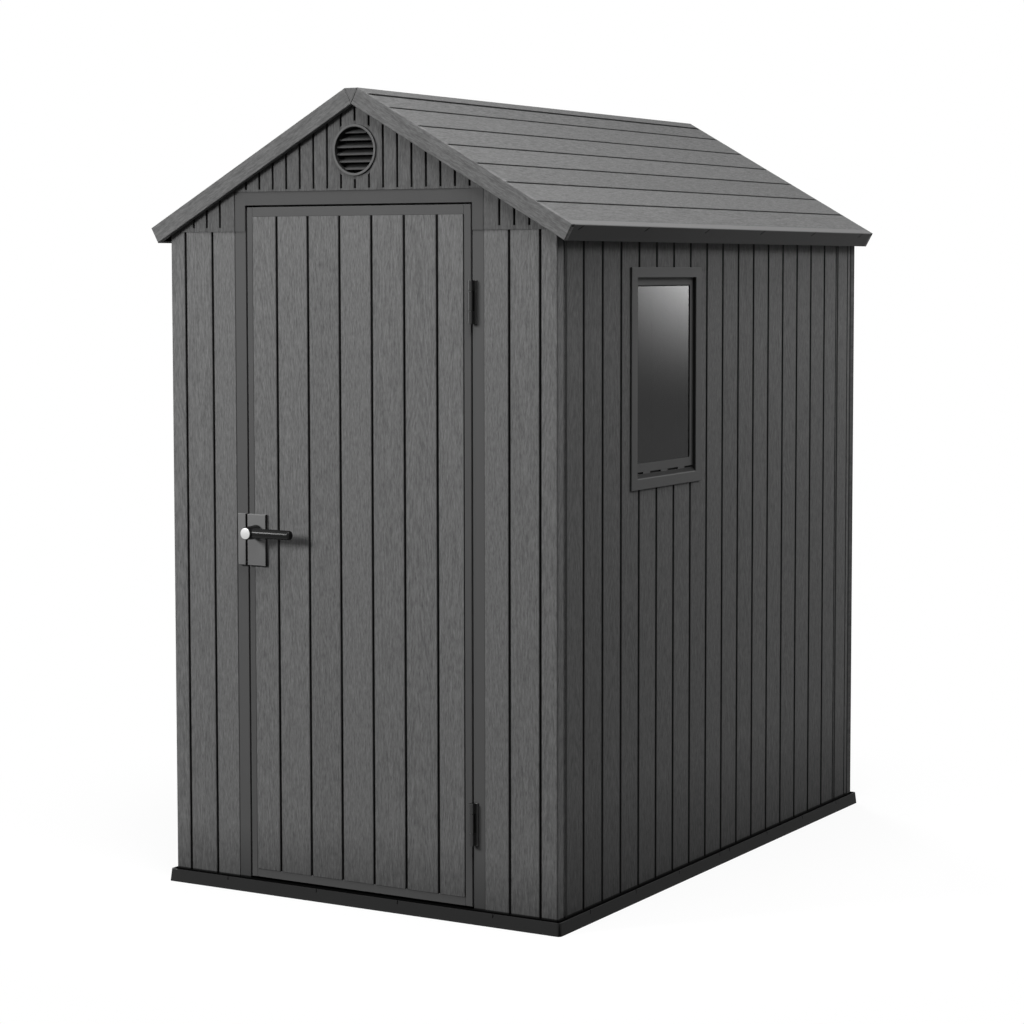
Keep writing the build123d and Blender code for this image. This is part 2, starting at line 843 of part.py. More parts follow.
def hinge_frame(middle):
    low_end = middle - hinge_length / 2
    low_top = low_end + hinge_low_share * hinge_length
    high_end = middle + hinge_length / 2
    high_foot = high_end - hinge_top_share * hinge_length
    with BuildPart() as hinge:
        for foot, head in ((low_end, low_top), (high_foot, high_end)):
            with BuildSketch(Plane.XY.offset(foot)):
                with Locations((hinge_x, hinge_y)):
                    Circle(hinge_radius)
                    Rectangle(hinge_radius, strip_face - hinge_y, align=(Align.MIN, Align.MIN))
                with Locations((hinge_x, strip_face)):
                    Rectangle(
                        hinge_leaf_width, hinge_leaf_thickness, align=(Align.MIN, Align.MAX)
                    )
            extrude(amount=head - foot)
        with BuildSketch(Plane.XY.offset(low_end)):
            with Locations((hinge_x, hinge_y)):
                Circle(pin_radius)
        extrude(amount=hinge_length)
    return hinge


def hinge_door(middle):
    foot = middle - hinge_length / 2 + hinge_low_share * hinge_length + knuckle_gap
    head = middle + hinge_length / 2 - hinge_top_share * hinge_length - knuckle_gap
    with BuildPart() as hinge:
        with BuildSketch(Plane.XY.offset(foot)):
            with Locations((hinge_x, hinge_y)):
                Circle(hinge_radius)
            with Locations((hinge_x, door_strip_face)):
                Rectangle(
                    hinge_leaf_width + door_gap, hinge_leaf_thickness, align=(Align.MAX, Align.MAX)
                )
            with Locations((hinge_x, hinge_y)):
                Rectangle(hinge_radius, door_strip_face - hinge_y, align=(Align.MAX, Align.MIN))
                Circle(pin_radius + pin_clearance, mode=Mode.SUBTRACT)
        extrude(amount=head - foot)
    return hinge


hinge_upper_z = door_top - hinge_below_top
hinge_lower_z = door_bottom + hinge_above_bottom
hinge_upper_frame = hinge_frame(hinge_upper_z)
save_piece(hinge_upper_frame, "hinge_upper_frame")
hinge_lower_frame = hinge_frame(hinge_lower_z)
save_piece(hinge_lower_frame, "hinge_lower_frame")
hinge_upper_door = hinge_door(hinge_upper_z)
save_piece(hinge_upper_door, "hinge_upper_door")
hinge_lower_door = hinge_door(hinge_lower_z)
save_piece(hinge_lower_door, "hinge_lower_door")

# Latch: a keeper on the jamb, a plate on the door and a lever that turns on a spindle in the plate

latch_bottom = lever_height - latch_below_lever
plate_start = -door_half
plate_front = door_strip_face - latch_thickness
lever_x = plate_start + latch_plate_width / 2
lever_seat = plate_front - lever_seat_gap
hub_nose = lever_seat - hub_length
rod_y = plate_front - lever_rod_stand_off

with BuildPart() as latch_keeper:
    with BuildSketch(Plane.XZ.offset(-strip_face)):
        with Locations((-doorway_half, latch_bottom)):
            Rectangle(keeper_width, latch_height, align=(Align.MAX, Align.MIN))
    extrude(amount=latch_thickness)
    chamfer(faces().sort_by(Axis.Y)[0].edges(), latch_edge)
save_piece(latch_keeper, "latch_keeper")

with BuildPart() as latch_plate:
    with BuildSketch(Plane.XZ.offset(-door_face)):
        with Locations((plate_start, latch_bottom)):
            Rectangle(latch_plate_width, latch_height, align=(Align.MIN, Align.MIN))
    extrude(amount=door_face - plate_front)
    chamfer(faces().sort_by(Axis.Y)[0].edges(), latch_edge)
    with BuildSketch(Plane.XZ.offset(-door_strip_face)):
        with Locations((plate_start + door_frame_edge, latch_bottom)):
            Rectangle(
                door_stile - 2 * door_frame_edge, latch_height, align=(Align.MIN, Align.MIN)
            )
    extrude(amount=door_strip_face - door_face)
    with BuildSketch(Plane.XZ.offset(-door_strip_face)):
        with Locations((lever_x, lever_height)):
            Circle(spindle_radius + spindle_clearance)
    extrude(amount=2 * latch_thickness, mode=Mode.SUBTRACT)
save_piece(latch_plate, "latch_plate")

with BuildPart() as latch_lever:
    with BuildSketch(Plane.XY.offset(lever_height)):
        with BuildLine():
            Polyline(
                (lever_x, door_face - lever_seat_gap),
                (lever_x + spindle_radius, door_face - lever_seat_gap),
                (lever_x + spindle_radius, lever_seat),
                (lever_x + hub_base_radius, lever_seat),
                (lever_x + hub_nose_radius, hub_nose + hub_edge),
                (lever_x + hub_nose_radius - hub_edge, hub_nose),
                (lever_x, hub_nose),
                close=True,
            )
        make_face()
    revolve(axis=Axis((lever_x, 0, lever_height), (0, 1, 0)))
    with BuildSketch(Plane.XY.offset(lever_height)):
        with BuildLine():
            Polyline(
                (lever_x, rod_y),
                (lever_x, rod_y - lever_rod_radius),
                (lever_x + lever_reach, rod_y - lever_rod_end_radius),
                (lever_x + lever_reach, rod_y),
                close=True,
            )
        make_face()
        rod_corner = (lever_x + lever_reach, rod_y - lever_rod_end_radius)
        chamfer(vertices().sort_by_distance(rod_corner)[0], lever_end_edge)
    revolve(axis=Axis((0, rod_y, lever_height), (1, 0, 0)))
save_piece(latch_lever, "latch_lever")

with BuildPart() as lever_cap:
    with BuildSketch(Plane.XZ.offset(-hub_nose)):
        with Locations((lever_x, lever_height)):
            Circle(cap_radius)
    extrude(amount=cap_thickness)
    chamfer(edges().filter_by(GeomType.CIRCLE).sort_by(Axis.Y)[0], cap_edge)
save_piece(lever_cap, "lever_cap")
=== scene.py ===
# %% [markdown]
# # A moulded resin garden shed
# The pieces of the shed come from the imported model, at their real size and place, in metres.
# This lesson dresses them: it lights and frames the shed, gives each moulded surface its finish,
# and models what is too fine for the construction model, such as the vent's slats, the turned
# lever, the hinges' knuckles and the tread of the floor.

# %% Load the frame
import bmesh
import bpy
import math
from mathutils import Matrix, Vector


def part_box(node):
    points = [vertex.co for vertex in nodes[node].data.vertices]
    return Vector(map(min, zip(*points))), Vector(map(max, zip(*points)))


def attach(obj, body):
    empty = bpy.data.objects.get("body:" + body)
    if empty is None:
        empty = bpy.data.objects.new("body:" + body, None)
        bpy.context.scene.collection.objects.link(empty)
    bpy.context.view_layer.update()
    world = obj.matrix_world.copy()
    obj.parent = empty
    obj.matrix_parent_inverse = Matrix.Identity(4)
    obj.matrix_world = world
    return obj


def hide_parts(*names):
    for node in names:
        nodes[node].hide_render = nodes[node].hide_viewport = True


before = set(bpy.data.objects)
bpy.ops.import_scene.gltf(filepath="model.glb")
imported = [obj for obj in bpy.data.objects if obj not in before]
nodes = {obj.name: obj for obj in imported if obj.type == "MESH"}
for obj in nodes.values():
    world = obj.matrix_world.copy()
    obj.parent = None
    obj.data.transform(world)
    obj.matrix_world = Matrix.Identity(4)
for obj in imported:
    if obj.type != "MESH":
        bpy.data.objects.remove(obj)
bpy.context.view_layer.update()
print("pieces of the shed:", len(nodes))

# %% [markdown]
# ## Lines of the shed
# Most places below are worked out from the pieces themselves, so the dressing stays on the shed;
# a few, such as the ridge's flat and the eave's corner, are given as numbers.
# The front of a plank is the surface of its panel, and a groove is what lies a little behind it.
# The roof's slope runs from the corner of the ridge cap down to the corner of the eave.

# %% Measure the shed
front_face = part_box("front_wall_left")[0].y
gable_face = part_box("front_gable")[0].y
wall_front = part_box("right_wall_front")[0].y
side_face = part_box("right_wall_rear")[1].x
back_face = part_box("back_wall_left")[1].y
back_gable_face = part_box("back_gable")[1].y
door_low, door_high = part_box("door_panel")
stile_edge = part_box("door_stile_right")[1].x
fascia_low, fascia_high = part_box("front_fascia_right")
floor_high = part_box("floor_right")[1]
vent_low, vent_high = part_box("gable_vent")
window_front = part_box("window_frame")[1].x
sash_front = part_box("window_sash")[1].x
pane_low, pane_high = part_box("window_pane")
plate_low, plate_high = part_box("latch_plate")
keeper_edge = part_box("latch_keeper")[1].x

ridge_half_flat = 0.0195
eave_corner_z = 1.710
half_roof = fascia_high.x
roof_slope = math.atan2(fascia_high.z - eave_corner_z, half_roof - ridge_half_flat)
slope_down = (math.cos(roof_slope), 0.0, -math.sin(roof_slope))
slope_out = (math.sin(roof_slope), 0.0, math.cos(roof_slope))
roof_face = Vector((half_roof, 0, eave_corner_z)).dot(Vector(slope_out))
roof_edge = Vector((half_roof, 0, eave_corner_z)).dot(Vector(slope_down))
print("roof slope in degrees:", round(math.degrees(roof_slope), 2))

# %% [markdown]
# ## Camera
# The shed is seen from its front right, from a little below the ridge's height and a long way off,
# which keeps its uprights nearly upright. The focal length is written as for a 36 mm sensor.

# %% Place the camera
camera_place = (3.6131, -6.2354, 1.6030)
camera_pitch = 4.0203
camera_turn = 29.5234
lens_mm = 90.8996
lens_shift = (-0.0488, -0.0592)

camera_data = bpy.data.cameras.new("camera")
camera = bpy.data.objects.new("camera", camera_data)
camera.location = camera_place
camera.rotation_euler = (math.radians(90 - camera_pitch), 0, math.radians(camera_turn))
camera_data.sensor_width = 36
camera_data.lens = lens_mm
camera_data.shift_x, camera_data.shift_y = lens_shift
bpy.context.scene.collection.objects.link(camera)
bpy.context.scene.camera = camera
print("camera at", camera_place)

# %% [markdown]
# ## Building materials from nodes
# A material is a small network of nodes. The first helper adds one node, sets its options, and
# fills its inputs: an input that is given a socket is linked, and one that is given a number is
# set. The others are short names for steps that come back, such as the ramp, which turns a
# distance into a soft step from one value to another.

# %% Helpers for node trees


def add_node(tree, kind, inputs=None, **options):
    """Add a node of a kind, with its options set and its inputs filled or linked."""
    made = tree.nodes.new(kind)
    for name, value in options.items():
        setattr(made, name, value)
    for key, value in (inputs or {}).items():
        if isinstance(value, bpy.types.NodeSocket):
            tree.links.new(value, made.inputs[key])
        else:
            made.inputs[key].default_value = value
    return made


def calc(tree, operation, *values):
    """One step of arithmetic, as a socket."""
    return add_node(tree, "ShaderNodeMath", dict(enumerate(values)), operation=operation).outputs[0]


def product(tree, first, *others):
    """Several values multiplied together."""
    for value in others:
        first = calc(tree, "MULTIPLY", first, value)
    return first


def total(tree, first, *others):
    """Several values added together."""
    for value in others:
        first = calc(tree, "ADD", first, value)
    return first


def minus(tree, first, second):
    """One value less another."""
    return calc(tree, "SUBTRACT", first, second)


def scaled(tree, value, by, plus):
    """A value multiplied, and then added to."""
    return calc(tree, "MULTIPLY_ADD", value, by, plus)


def distance(tree, value, middle):
    """How far a value is from a middle, whichever side it lies on."""
    return calc(tree, "ABSOLUTE", minus(tree, value, middle))


def combine(tree, x, y, z):
    """A vector from three numbers or sockets."""
    return add_node(tree, "ShaderNodeCombineXYZ", {0: x, 1: y, 2: z}).outputs[0]


def split(tree, position):
    """The three numbers of a vector."""
    return tuple(add_node(tree, "ShaderNodeSeparateXYZ", {0: position}).outputs)


# %% Helpers for finishes


def own_place(tree):
    """The place of a point on its piece, which moves with the piece."""
    return add_node(tree, "ShaderNodeTexCoord").outputs["Object"]


def along_axis(tree, position, direction):
    """How far a position lies along a direction."""
    inputs = {0: position, 1: direction}
    step = add_node(tree, "ShaderNodeVectorMath", inputs, operation="DOT_PRODUCT")
    return step.outputs["Value"]


def ramp(tree, value, low, high, at_low=0.0, at_high=1.0, step="SMOOTHSTEP"):
    """A smooth step from one value to another as the input goes from low to high."""
    inputs = {0: value, 1: low, 2: high, 3: at_low, 4: at_high}
    return add_node(tree, "ShaderNodeMapRange", inputs, interpolation_type=step).outputs[0]


def part_way(tree, value, share):
    """The value where the share is 1, and plain 1 where the share is 0."""
    return scaled(tree, minus(tree, value, 1.0), share, 1.0)


def noise(tree, place, scale, detail, roughness=0.5):
    """Soft random values over a place."""
    inputs = {"Vector": place, "Scale": scale, "Detail": detail, "Roughness": roughness}
    return add_node(tree, "ShaderNodeTexNoise", inputs).outputs[0]


def grey_of(tree, light):
    """A plain grey of the given lightness."""
    return add_node(tree, "ShaderNodeCombineColor", {0: light, 1: light, 2: light}).outputs[0]


def press(tree, shader, height, strength, depth):
    """Press a pattern of heights into a surface."""
    inputs = {"Strength": strength, "Distance": depth, "Height": height}
    bump = add_node(tree, "ShaderNodeBump", inputs).outputs[0]
    tree.links.new(bump, shader.inputs["Normal"])


def new_tree(name, kind, inputs, outputs):
    """A tree of nodes with named inputs and outputs, and its two end nodes."""
    tree = bpy.data.node_groups.new(name, kind)
    for side, sockets in (("INPUT", inputs), ("OUTPUT", outputs)):
        for label, carries in sockets.items():
            tree.interface.new_socket(label, in_out=side, socket_type="NodeSocket" + carries)
    return tree, tree.nodes.new("NodeGroupInput").outputs, tree.nodes.new("NodeGroupOutput").inputs


def new_material(name):
    """An empty material: its tree and its surface shader."""
    material = bpy.data.materials.new(name)
    material.use_nodes = True
    return material, material.node_tree, material.node_tree.nodes["Principled BSDF"]


def set_values(shader, values):
    """Set the plain values of a shader."""
    for name, value in values.items():
        shader.inputs[name].default_value = value


# %% [markdown]
# ## Wood grain pressed into resin
# The mould's planks carry a brushed wood grain: long fine streaks, and on some planks the nested
# arches of a board cut near the heart. Streaks are noise that is stretched along the plank. The
# arches are the height lines of a parabola that runs along the plank, bent by a little noise.
# Each plank gets its own number, which shifts and mixes the patterns, so no two planks match.
# A size below is a width across the plank and a length along it. A tint is how far a pattern
# moves the colour.

# %% The grain's streaks and fibres
streak_size = (0.0042, 0.038)
fibre_size = (0.0022, 0.012)
wander_size = (1 / 22, 1 / 4.5)

grain, grain_in, grain_out = new_tree(
    "pressed wood grain", "ShaderNodeTree",
    {"Across": "Float", "Along": "Float", "Board": "Float"}, {"Tint": "Float", "Height": "Float"},
)
own = add_node(grain, "ShaderNodeTexWhiteNoise", {"W": grain_in["Board"]}, noise_dimensions="1D")
heart_share, arch_choice, board_share = add_node(
    grain, "ShaderNodeSeparateColor", {0: own.outputs["Color"]}
).outputs
shift = product(grain, own.outputs["Value"], 37.0)


def stretched(size):
    """A place on the plank, counted in grains of a width and length."""
    across = calc(grain, "DIVIDE", grain_in["Across"], size[0])
    return combine(grain, across, calc(grain, "DIVIDE", grain_in["Along"], size[1]), shift)


streaks = noise(grain, stretched(streak_size), 1.0, 3.0, 0.6)
fibres = noise(grain, stretched(fibre_size), 1.0, 2.0)
wander = noise(grain, stretched(wander_size), 1.0, 1.0)

# %% The grain's arches
arch_step = 0.072
arch_bend = 150.0
arch_wander = 0.42
heart_shift = 0.03

heart = scaled(grain, heart_share, heart_shift, -heart_shift / 2)
off_heart = minus(grain, grain_in["Across"], heart)
bend = product(grain, calc(grain, "POWER", off_heart, 2.0), arch_bend)
arch_height = total(grain, grain_in["Along"], bend, product(grain, wander, arch_wander))
arch_wave = calc(grain, "SINE", product(grain, arch_height, 2 * math.pi / arch_step))
arches = product(grain, arch_wave, ramp(grain, arch_choice, 0.35, 0.75, 0.15, 1.0))

# %% The grain's tint and height
streak_tint = 1.00
fibre_tint = 0.90
arch_tint = 0.09
board_tint = 0.08

tint_sum = total(
    grain,
    scaled(grain, streaks, streak_tint, 1.0 - streak_tint / 2),
    scaled(grain, fibres, fibre_tint, -fibre_tint / 2),
    product(grain, arches, arch_tint),
    scaled(grain, board_share, board_tint, -board_tint / 2),
)
height_sum = total(grain, streaks, product(grain, fibres, 0.6), product(grain, arches, 0.25))
grain.links.new(tint_sum, grain_out["Tint"])
grain.links.new(height_sum, grain_out["Height"])
print("grain group:", len(grain.nodes), "nodes")


def use_grain(tree, across, along, board):
    """The grain group's outputs for a place on a plank."""
    pattern = tree.nodes.new("ShaderNodeGroup")
    pattern.node_tree = grain
    for name, value in (("Across", across), ("Along", along), ("Board", board)):
        tree.links.new(value, pattern.inputs[name])
    return pattern.outputs


# %% [markdown]
# ## Planked panels
# A panel is one moulding, and its planks are parted by narrow grooves that look nearly black,
# because shade collects there, and the material paints that shade into their colour. The material
# knows where the panel's face is: a point that lies from half a millimetre to a few millimetres
# behind it is in a groove, and is painted dark. Deeper points, such as the panel's inner side, keep
# their colour. Beside its groove a plank's edge is rounded in its bump, and its colour is painted a
# little darker there too, as painted shade. Near the doorway the panel has a smooth jamb strip in
# place of planks. A wall also gets a painted dark line of shade at its foot, where it stands in the
# gutter of the floor, painted shade that fades up from the ground, and a painted shadow under the
# eave. A painted picture could show this too, but lines that are worked out from the place stay
# sharp close up.

# %% Numbers of the grooves
# groove_dark and seam_share set how dark the painted shade of grooves and seams is.
groove_dark = 0.10
groove_start = 0.0004
groove_full = 0.0022
groove_end = 0.0065
groove_gone = 0.0085
groove_half = 0.0033
edge_round = 0.0040
edge_fall = 1.6
seam_share = 0.92
strip_bevel = 0.0018
foot_fade = 0.0030
eave_shadow_z = (1.38, 1.70)

# %% The planked finish


def board_at(tree, place, first, pitch):
    """The number of the board at a place, how far it is off the board's middle, and from its edge."""
    steps = calc(tree, "DIVIDE", minus(tree, place, first), pitch)
    board = calc(tree, "FLOOR", steps)
    share = minus(tree, minus(tree, steps, board), 0.5)
    off_middle = product(tree, share, pitch)
    from_edge = minus(tree, pitch / 2, calc(tree, "ABSOLUTE", off_middle))
    return board, off_middle, from_edge


def planked(
    name, across, along, outward, face, pitch, first=0.0, grey=0.135, mirrored=False, strip=0.0,
    seams=(), ends=0.0, inner=0.0, outer=9.0, edge_width=0.0022, edge_share=0.42, first_edge=0.0,
    smooth_share=0.66, foot=0.0, low_shade=(1.0, 0.3), high_shade=1.0,
):
    """A planked resin finish: directions across, along and out of the panel, and where its face is.
    Nearer to the middle than strip, the panel is a smooth jamb strip, at smooth_share of its grey.
    Seams are joints painted with a dark line of shade: an axis, a place on it and a half width.
    Grooves are painted dark, as painted shade, only up to the distance that ends gives, front and
    back, and between inner and outer, left and right. A plank gets painted shade over edge_width
    beside its groove, down to edge_share, further out than first_edge. The panel gets a painted
    dark line of shade below the height that foot gives, and low_shade is a share of its colour at
    the foot and the height where the full colour is reached, a painted shade that fades up from
    the ground. Under the eave a painted shadow takes it down to high_shade."""
    material, tree, shader = new_material(name)
    position = own_place(tree)
    x, y, z = split(tree, position)
    from_middle = calc(tree, "ABSOLUTE", x)
    if mirrored:
        position = combine(tree, from_middle, y, z)
    within = calc(tree, "LESS_THAN", from_middle, outer)
    round_corner = product(tree, minus(tree, 1.0, within), y)
    place = total(tree, along_axis(tree, position, across), round_corner)
    board, off_middle, from_edge = board_at(tree, place, first, pitch)
    tint, height = use_grain(tree, off_middle, along_axis(tree, position, along), board)
    rounding = ramp(tree, from_edge, groove_half, groove_half + edge_round, -edge_fall, 0.0)
    height = total(tree, height, rounding)
    # Painted shade: the plank's colour darkens beside its groove, where its rounded edge turns from the
    # light; the bump above rounds the edge itself.
    edge_painted_shade = ramp(tree, from_edge, groove_half, groove_half + edge_width, edge_share, 1.0)

    # Painted shade: a point a little behind the face lies in a groove and is painted dark.
    behind = minus(tree, face, along_axis(tree, position, outward))
    beyond = ramp(tree, behind, groove_end, groove_gone)
    in_groove = minus(tree, ramp(tree, behind, groove_start, groove_full), beyond)
    in_groove = product(tree, in_groove, within, calc(tree, "GREATER_THAN", from_middle, inner))
    if strip:
        planks = ramp(tree, from_middle, strip, strip + strip_bevel)
        in_groove = product(tree, in_groove, calc(tree, "GREATER_THAN", from_middle, strip + strip_bevel))
        edges = product(tree, calc(tree, "GREATER_THAN", from_middle, first_edge), within)
        tint = part_way(tree, product(tree, tint, part_way(tree, edge_painted_shade, edges)), planks)
        tint = product(tree, tint, scaled(tree, planks, 1 - smooth_share, smooth_share))
        height = product(tree, height, planks)
    else:
        tint = product(tree, tint, edge_painted_shade)
    if ends:
        short_of_end = calc(tree, "LESS_THAN", calc(tree, "ABSOLUTE", y), ends)
        in_groove = product(tree, in_groove, short_of_end)
    # Painted shade: a dark line at each seam, a joint or step between parts where shade falls.
    for axis, seam_at, seam_half in seams:
        off_seam = distance(tree, (x, y, z)[axis], seam_at)
        line = ramp(tree, off_seam, seam_half * 0.6, seam_half * 1.3, seam_share, 0.0)
        in_groove = calc(tree, "MAXIMUM", in_groove, line)
    # Painted shade: a dark line at the wall's foot, where it stands in the floor's gutter.
    if foot:
        in_groove = calc(tree, "MAXIMUM", in_groove, ramp(tree, z, foot, foot + foot_fade, 1.0, 0.0))
    # The painted shade of grooves, seams and the foot line, as a share of the colour.
    shade = scaled(tree, in_groove, groove_dark - 1.0, 1.0)
    # Painted shade: the wall darkens towards the ground, and a painted shadow darkens it under the eave.
    if foot:
        painted_low_shade = ramp(tree, z, foot, low_shade[1], low_shade[0], 1.0, step="LINEAR")
        shade = product(tree, shade, painted_low_shade, ramp(tree, z, *eave_shadow_z, 1.0, high_shade))

    tree.links.new(grey_of(tree, product(tree, tint, shade, grey)), shader.inputs["Base Color"])
    press(tree, shader, height, 0.45, 0.0006)
    tree.links.new(scaled(tree, tint, -0.10, 0.72), shader.inputs["Roughness"])
    set_values(shader, {"Specular IOR Level": 0.06})
    return material


# %% [markdown]
# ## The panels' finishes
# Each panel has its own pitch of planks, its first groove, and its own grey. The sides and the
# gable stand more in shade, so their greys are darker than the front's, as painted shade. A
# direction is one of the shed's axes, apart from the roof's, where the planks follow the slope.

# %% Directions and greys
to_right, to_rear, upward = (1, 0, 0), (0, 1, 0), (0, 0, 1)
to_front = (0, -1, 0)
front_grey = 0.127
# Painted shade: the gable's and the sides' greys are darker copies of the front's.
gable_shaded_grey = 0.088
side_shaded_grey = 0.092
roof_grey = 0.103
verge_grey = 0.112

# %% Walls, gable and door
front_pitch = 0.086
door_pitch = 0.0956
gable_pitch = 0.0416
side_pitch = 0.0957
strip_edge = 0.3705
wall_foot = 0.0362
# Painted shade: a dark seam line where the planks step down to the jamb strip.
strip_seams = [(0, strip_edge + 0.0005, 0.0011)]
beside_door = dict(mirrored=True, strip=strip_edge, seams=strip_seams, outer=0.5745, first_edge=0.385)
# A weaker, narrower painted edge shade for the fine planks of the gable.
fine_edge = dict(edge_share=0.8, edge_width=0.0010)

front_planks = planked(
    "front_planks", to_right, upward, to_front, -front_face, front_pitch, 0.442, front_grey,
    foot=wall_foot, low_shade=(0.62, 0.17), **beside_door,
)
gable_planks = planked(
    "gable_planks", to_right, upward, to_front, -gable_face, gable_pitch, 0.0, gable_shaded_grey, **fine_edge
)
wing_planks = planked(
    "wing_planks", to_right, upward, to_front, -gable_face, gable_pitch, 10 * gable_pitch, gable_shaded_grey,
    smooth_share=0.84, **beside_door, **fine_edge,
)
door_planks = planked(
    "door_planks", to_right, upward, to_front, -door_low.y, door_pitch, door_pitch / 2, front_grey,
    foot=wall_foot, low_shade=(0.60, 0.20),
    # Painted shade: dark lines where the door's planked field meets its stiles.
    seams=[(0, door_low.x + 0.0006, 0.0016), (0, door_high.x - 0.0006, 0.0012)],
)
# Painted shade: a dark band at the wall's front corner, and a wide, deep painted edge shade beside each
# groove.
side_planks = planked(
    "side_planks", to_rear, upward, to_right, side_face, side_pitch, 0.0, side_shaded_grey, mirrored=True,
    seams=[(1, wall_front + 0.0040, 0.0062)], edge_width=0.0052, edge_share=0.10,
    foot=wall_foot, low_shade=(0.50, 0.32), high_shade=0.82,
)
back_planks = planked("back_planks", to_right, upward, to_rear, back_face, side_pitch)
back_gable_planks = planked("back_gable_planks", to_right, upward, to_rear, back_gable_face, gable_pitch)

# %% Roof, ridge and verge
roof_pitch = 0.0953
first_roof_groove = 0.113
ridge_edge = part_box("ridge_cap")[1].x + 0.0024
# Painted shade: dark lines along the ridge cap's edges, in its grooves.
ridge_seams = [(0, ridge_edge, 0.0055), (0, -ridge_edge, 0.0055)]
roof_planks = planked(
    "roof_planks", slope_down, to_rear, slope_out, roof_face, roof_pitch, roof_edge - first_roof_groove,
    roof_grey, mirrored=True, seams=ridge_seams,
)
ridge_planks = planked(
    "ridge_planks", slope_down, to_rear, slope_out, roof_face, 0.3, roof_edge - 0.52, roof_grey,
    mirrored=True, seams=ridge_seams, inner=0.040,
)
verge_boards = planked(
    "verge_boards", slope_out, slope_down, slope_out, roof_face, 0.3, roof_face - 0.15, verge_grey,
    mirrored=True, ends=-fascia_low.y - 0.0028,
)
print("planked finishes:", sum("planks" in m.name for m in bpy.data.materials))

# %% [markdown]
# ## Smooth resin
# The jamb strips, the header, the door's frame and the window's frame are plain mouldings. They
# aren't mirror smooth: the mould is sand-blasted, so a very fine noise moves the colour and bump.
# Where a moulding has a recess that fills with shade, it is given a painted shade: a function that
# turns a place on the piece into a share of its colour.

# %% The smooth finish


def smooth_resin(name, grey, roughness=0.6, specular=0.06, shade=None, blast=0.5):
    """A plain resin moulding with a fine blasted texture, and a painted shade that depends on the place.
    """
    material, tree, shader = new_material(name)
    position = own_place(tree)
    fine = noise(tree, position, 800.0, 2.0)
    tint = scaled(tree, fine, 0.16, 0.92)
    wide = scaled(tree, noise(tree, position, 9.0, 2.0), 0.10, 0.95)
    light = product(tree, tint, wide, grey)
    # Painted shade from the place, where the moulding's recesses lie in shadow.
    if shade:
        light = product(tree, light, shade(tree, *split(tree, position)))
    tree.links.new(grey_of(tree, light), shader.inputs["Base Color"])
    press(tree, shader, fine, blast, 0.00015)
    set_values(shader, {"Roughness": roughness, "Specular IOR Level": specular})
    return material


# %% [markdown]
# ## Painted shade on the eaves and the floor
# The eave trim's top is painted lighter than its dark outer side, as painted light where the top
# faces up to the light, and the small notches under its edge are painted dark as painted shade.
# The floor is a tray: a lip runs round it, and the walls stand inside in a gutter, which is always
# in shade and is painted dark. So is the sill under the door, and the tray's rounded corners get
# painted shade too.

# %% Painted light and shade of the eave trim
eave_top_painted_light = 3.6
trim_edge = max(v.co.dot(Vector(slope_down)) for v in nodes["eave_trim_right"].data.vertices)


def eave_shade(tree, x, y, z):
    """The eave trim's top is painted lighter, as painted light, its notches get painted shade, and its
    outer side keeps the trim's dark grey.
    """
    folded = combine(tree, calc(tree, "ABSOLUTE", x), y, z)
    below = minus(tree, roof_face, along_axis(tree, folded, slope_out))
    inward = minus(tree, trim_edge, along_axis(tree, folded, slope_down))
    notch_painted_shade = product(tree, ramp(tree, inward, 0.0004, 0.0010), ramp(tree, below, 0.0030, 0.0040))
    top = ramp(tree, below, 0.0008, 0.0030, eave_top_painted_light, 1.0)
    return product(tree, top, scaled(tree, notch_painted_shade, -0.85, 1.0))


# %% Shade of the gutter
lip_width = 0.0067
room_half_x = 0.5482
room_half_y = 0.8612
room_middle_y = 0.004
gutter_top = 0.0235
corner_start = 0.0075
corner_full = 0.0045


def inside(tree, off_x, half_x, off_y, half_y):
    """1 within a rectangle, and 0 outside it."""
    in_x = calc(tree, "LESS_THAN", off_x, half_x)
    return product(tree, in_x, calc(tree, "LESS_THAN", off_y, half_y))


def gutter_shade(tree, x, y, z):
    """The gutter between the floor's lip and the walls, and the sill under the door, get painted shade,
    and so do the tray's rounded corners.
    """
    off_x = calc(tree, "ABSOLUTE", x)
    off_y = calc(tree, "ABSOLUTE", y)
    in_lip = inside(tree, off_x, floor_high.x - lip_width, off_y, floor_high.y - lip_width)
    in_room = inside(tree, off_x, room_half_x, distance(tree, y, room_middle_y), room_half_y)
    high = calc(tree, "GREATER_THAN", z, gutter_top)
    # Painted shade: the gutter and the sill.
    gutter = product(tree, minus(tree, in_lip, in_room), high)
    # Painted shade: the tray's rounded corners darken where they turn from the light.
    sides = ((off_x, floor_high.x), (off_y, floor_high.y))
    near = [ramp(tree, off, edge - corner_start, edge - corner_full) for off, edge in sides]
    corner = product(tree, *near, 0.8)
    return scaled(tree, calc(tree, "MAXIMUM", gutter, corner), -0.96, 1.0)


# %% [markdown]
# ## Painted shade on the window, the latch and the vent
# The window's frame has a reveal and drain slots that are painted dark just behind its front, as
# painted shade. The sash steps down to the pane, and a painted dark line of shade shows under its
# head. The latch plate's end, underside and gap are painted dark lines of shade, and the vent's
# sleeve and slats fade into painted shade behind them.

# %% Shade of the window


def frame_shade(tree, x, y, z):
    """The window frame's front is grey, and its reveal and drain slots are painted in deep shade."""
    return ramp(tree, x, window_front - 0.0032, window_front - 0.0010, 0.12, 1.0)


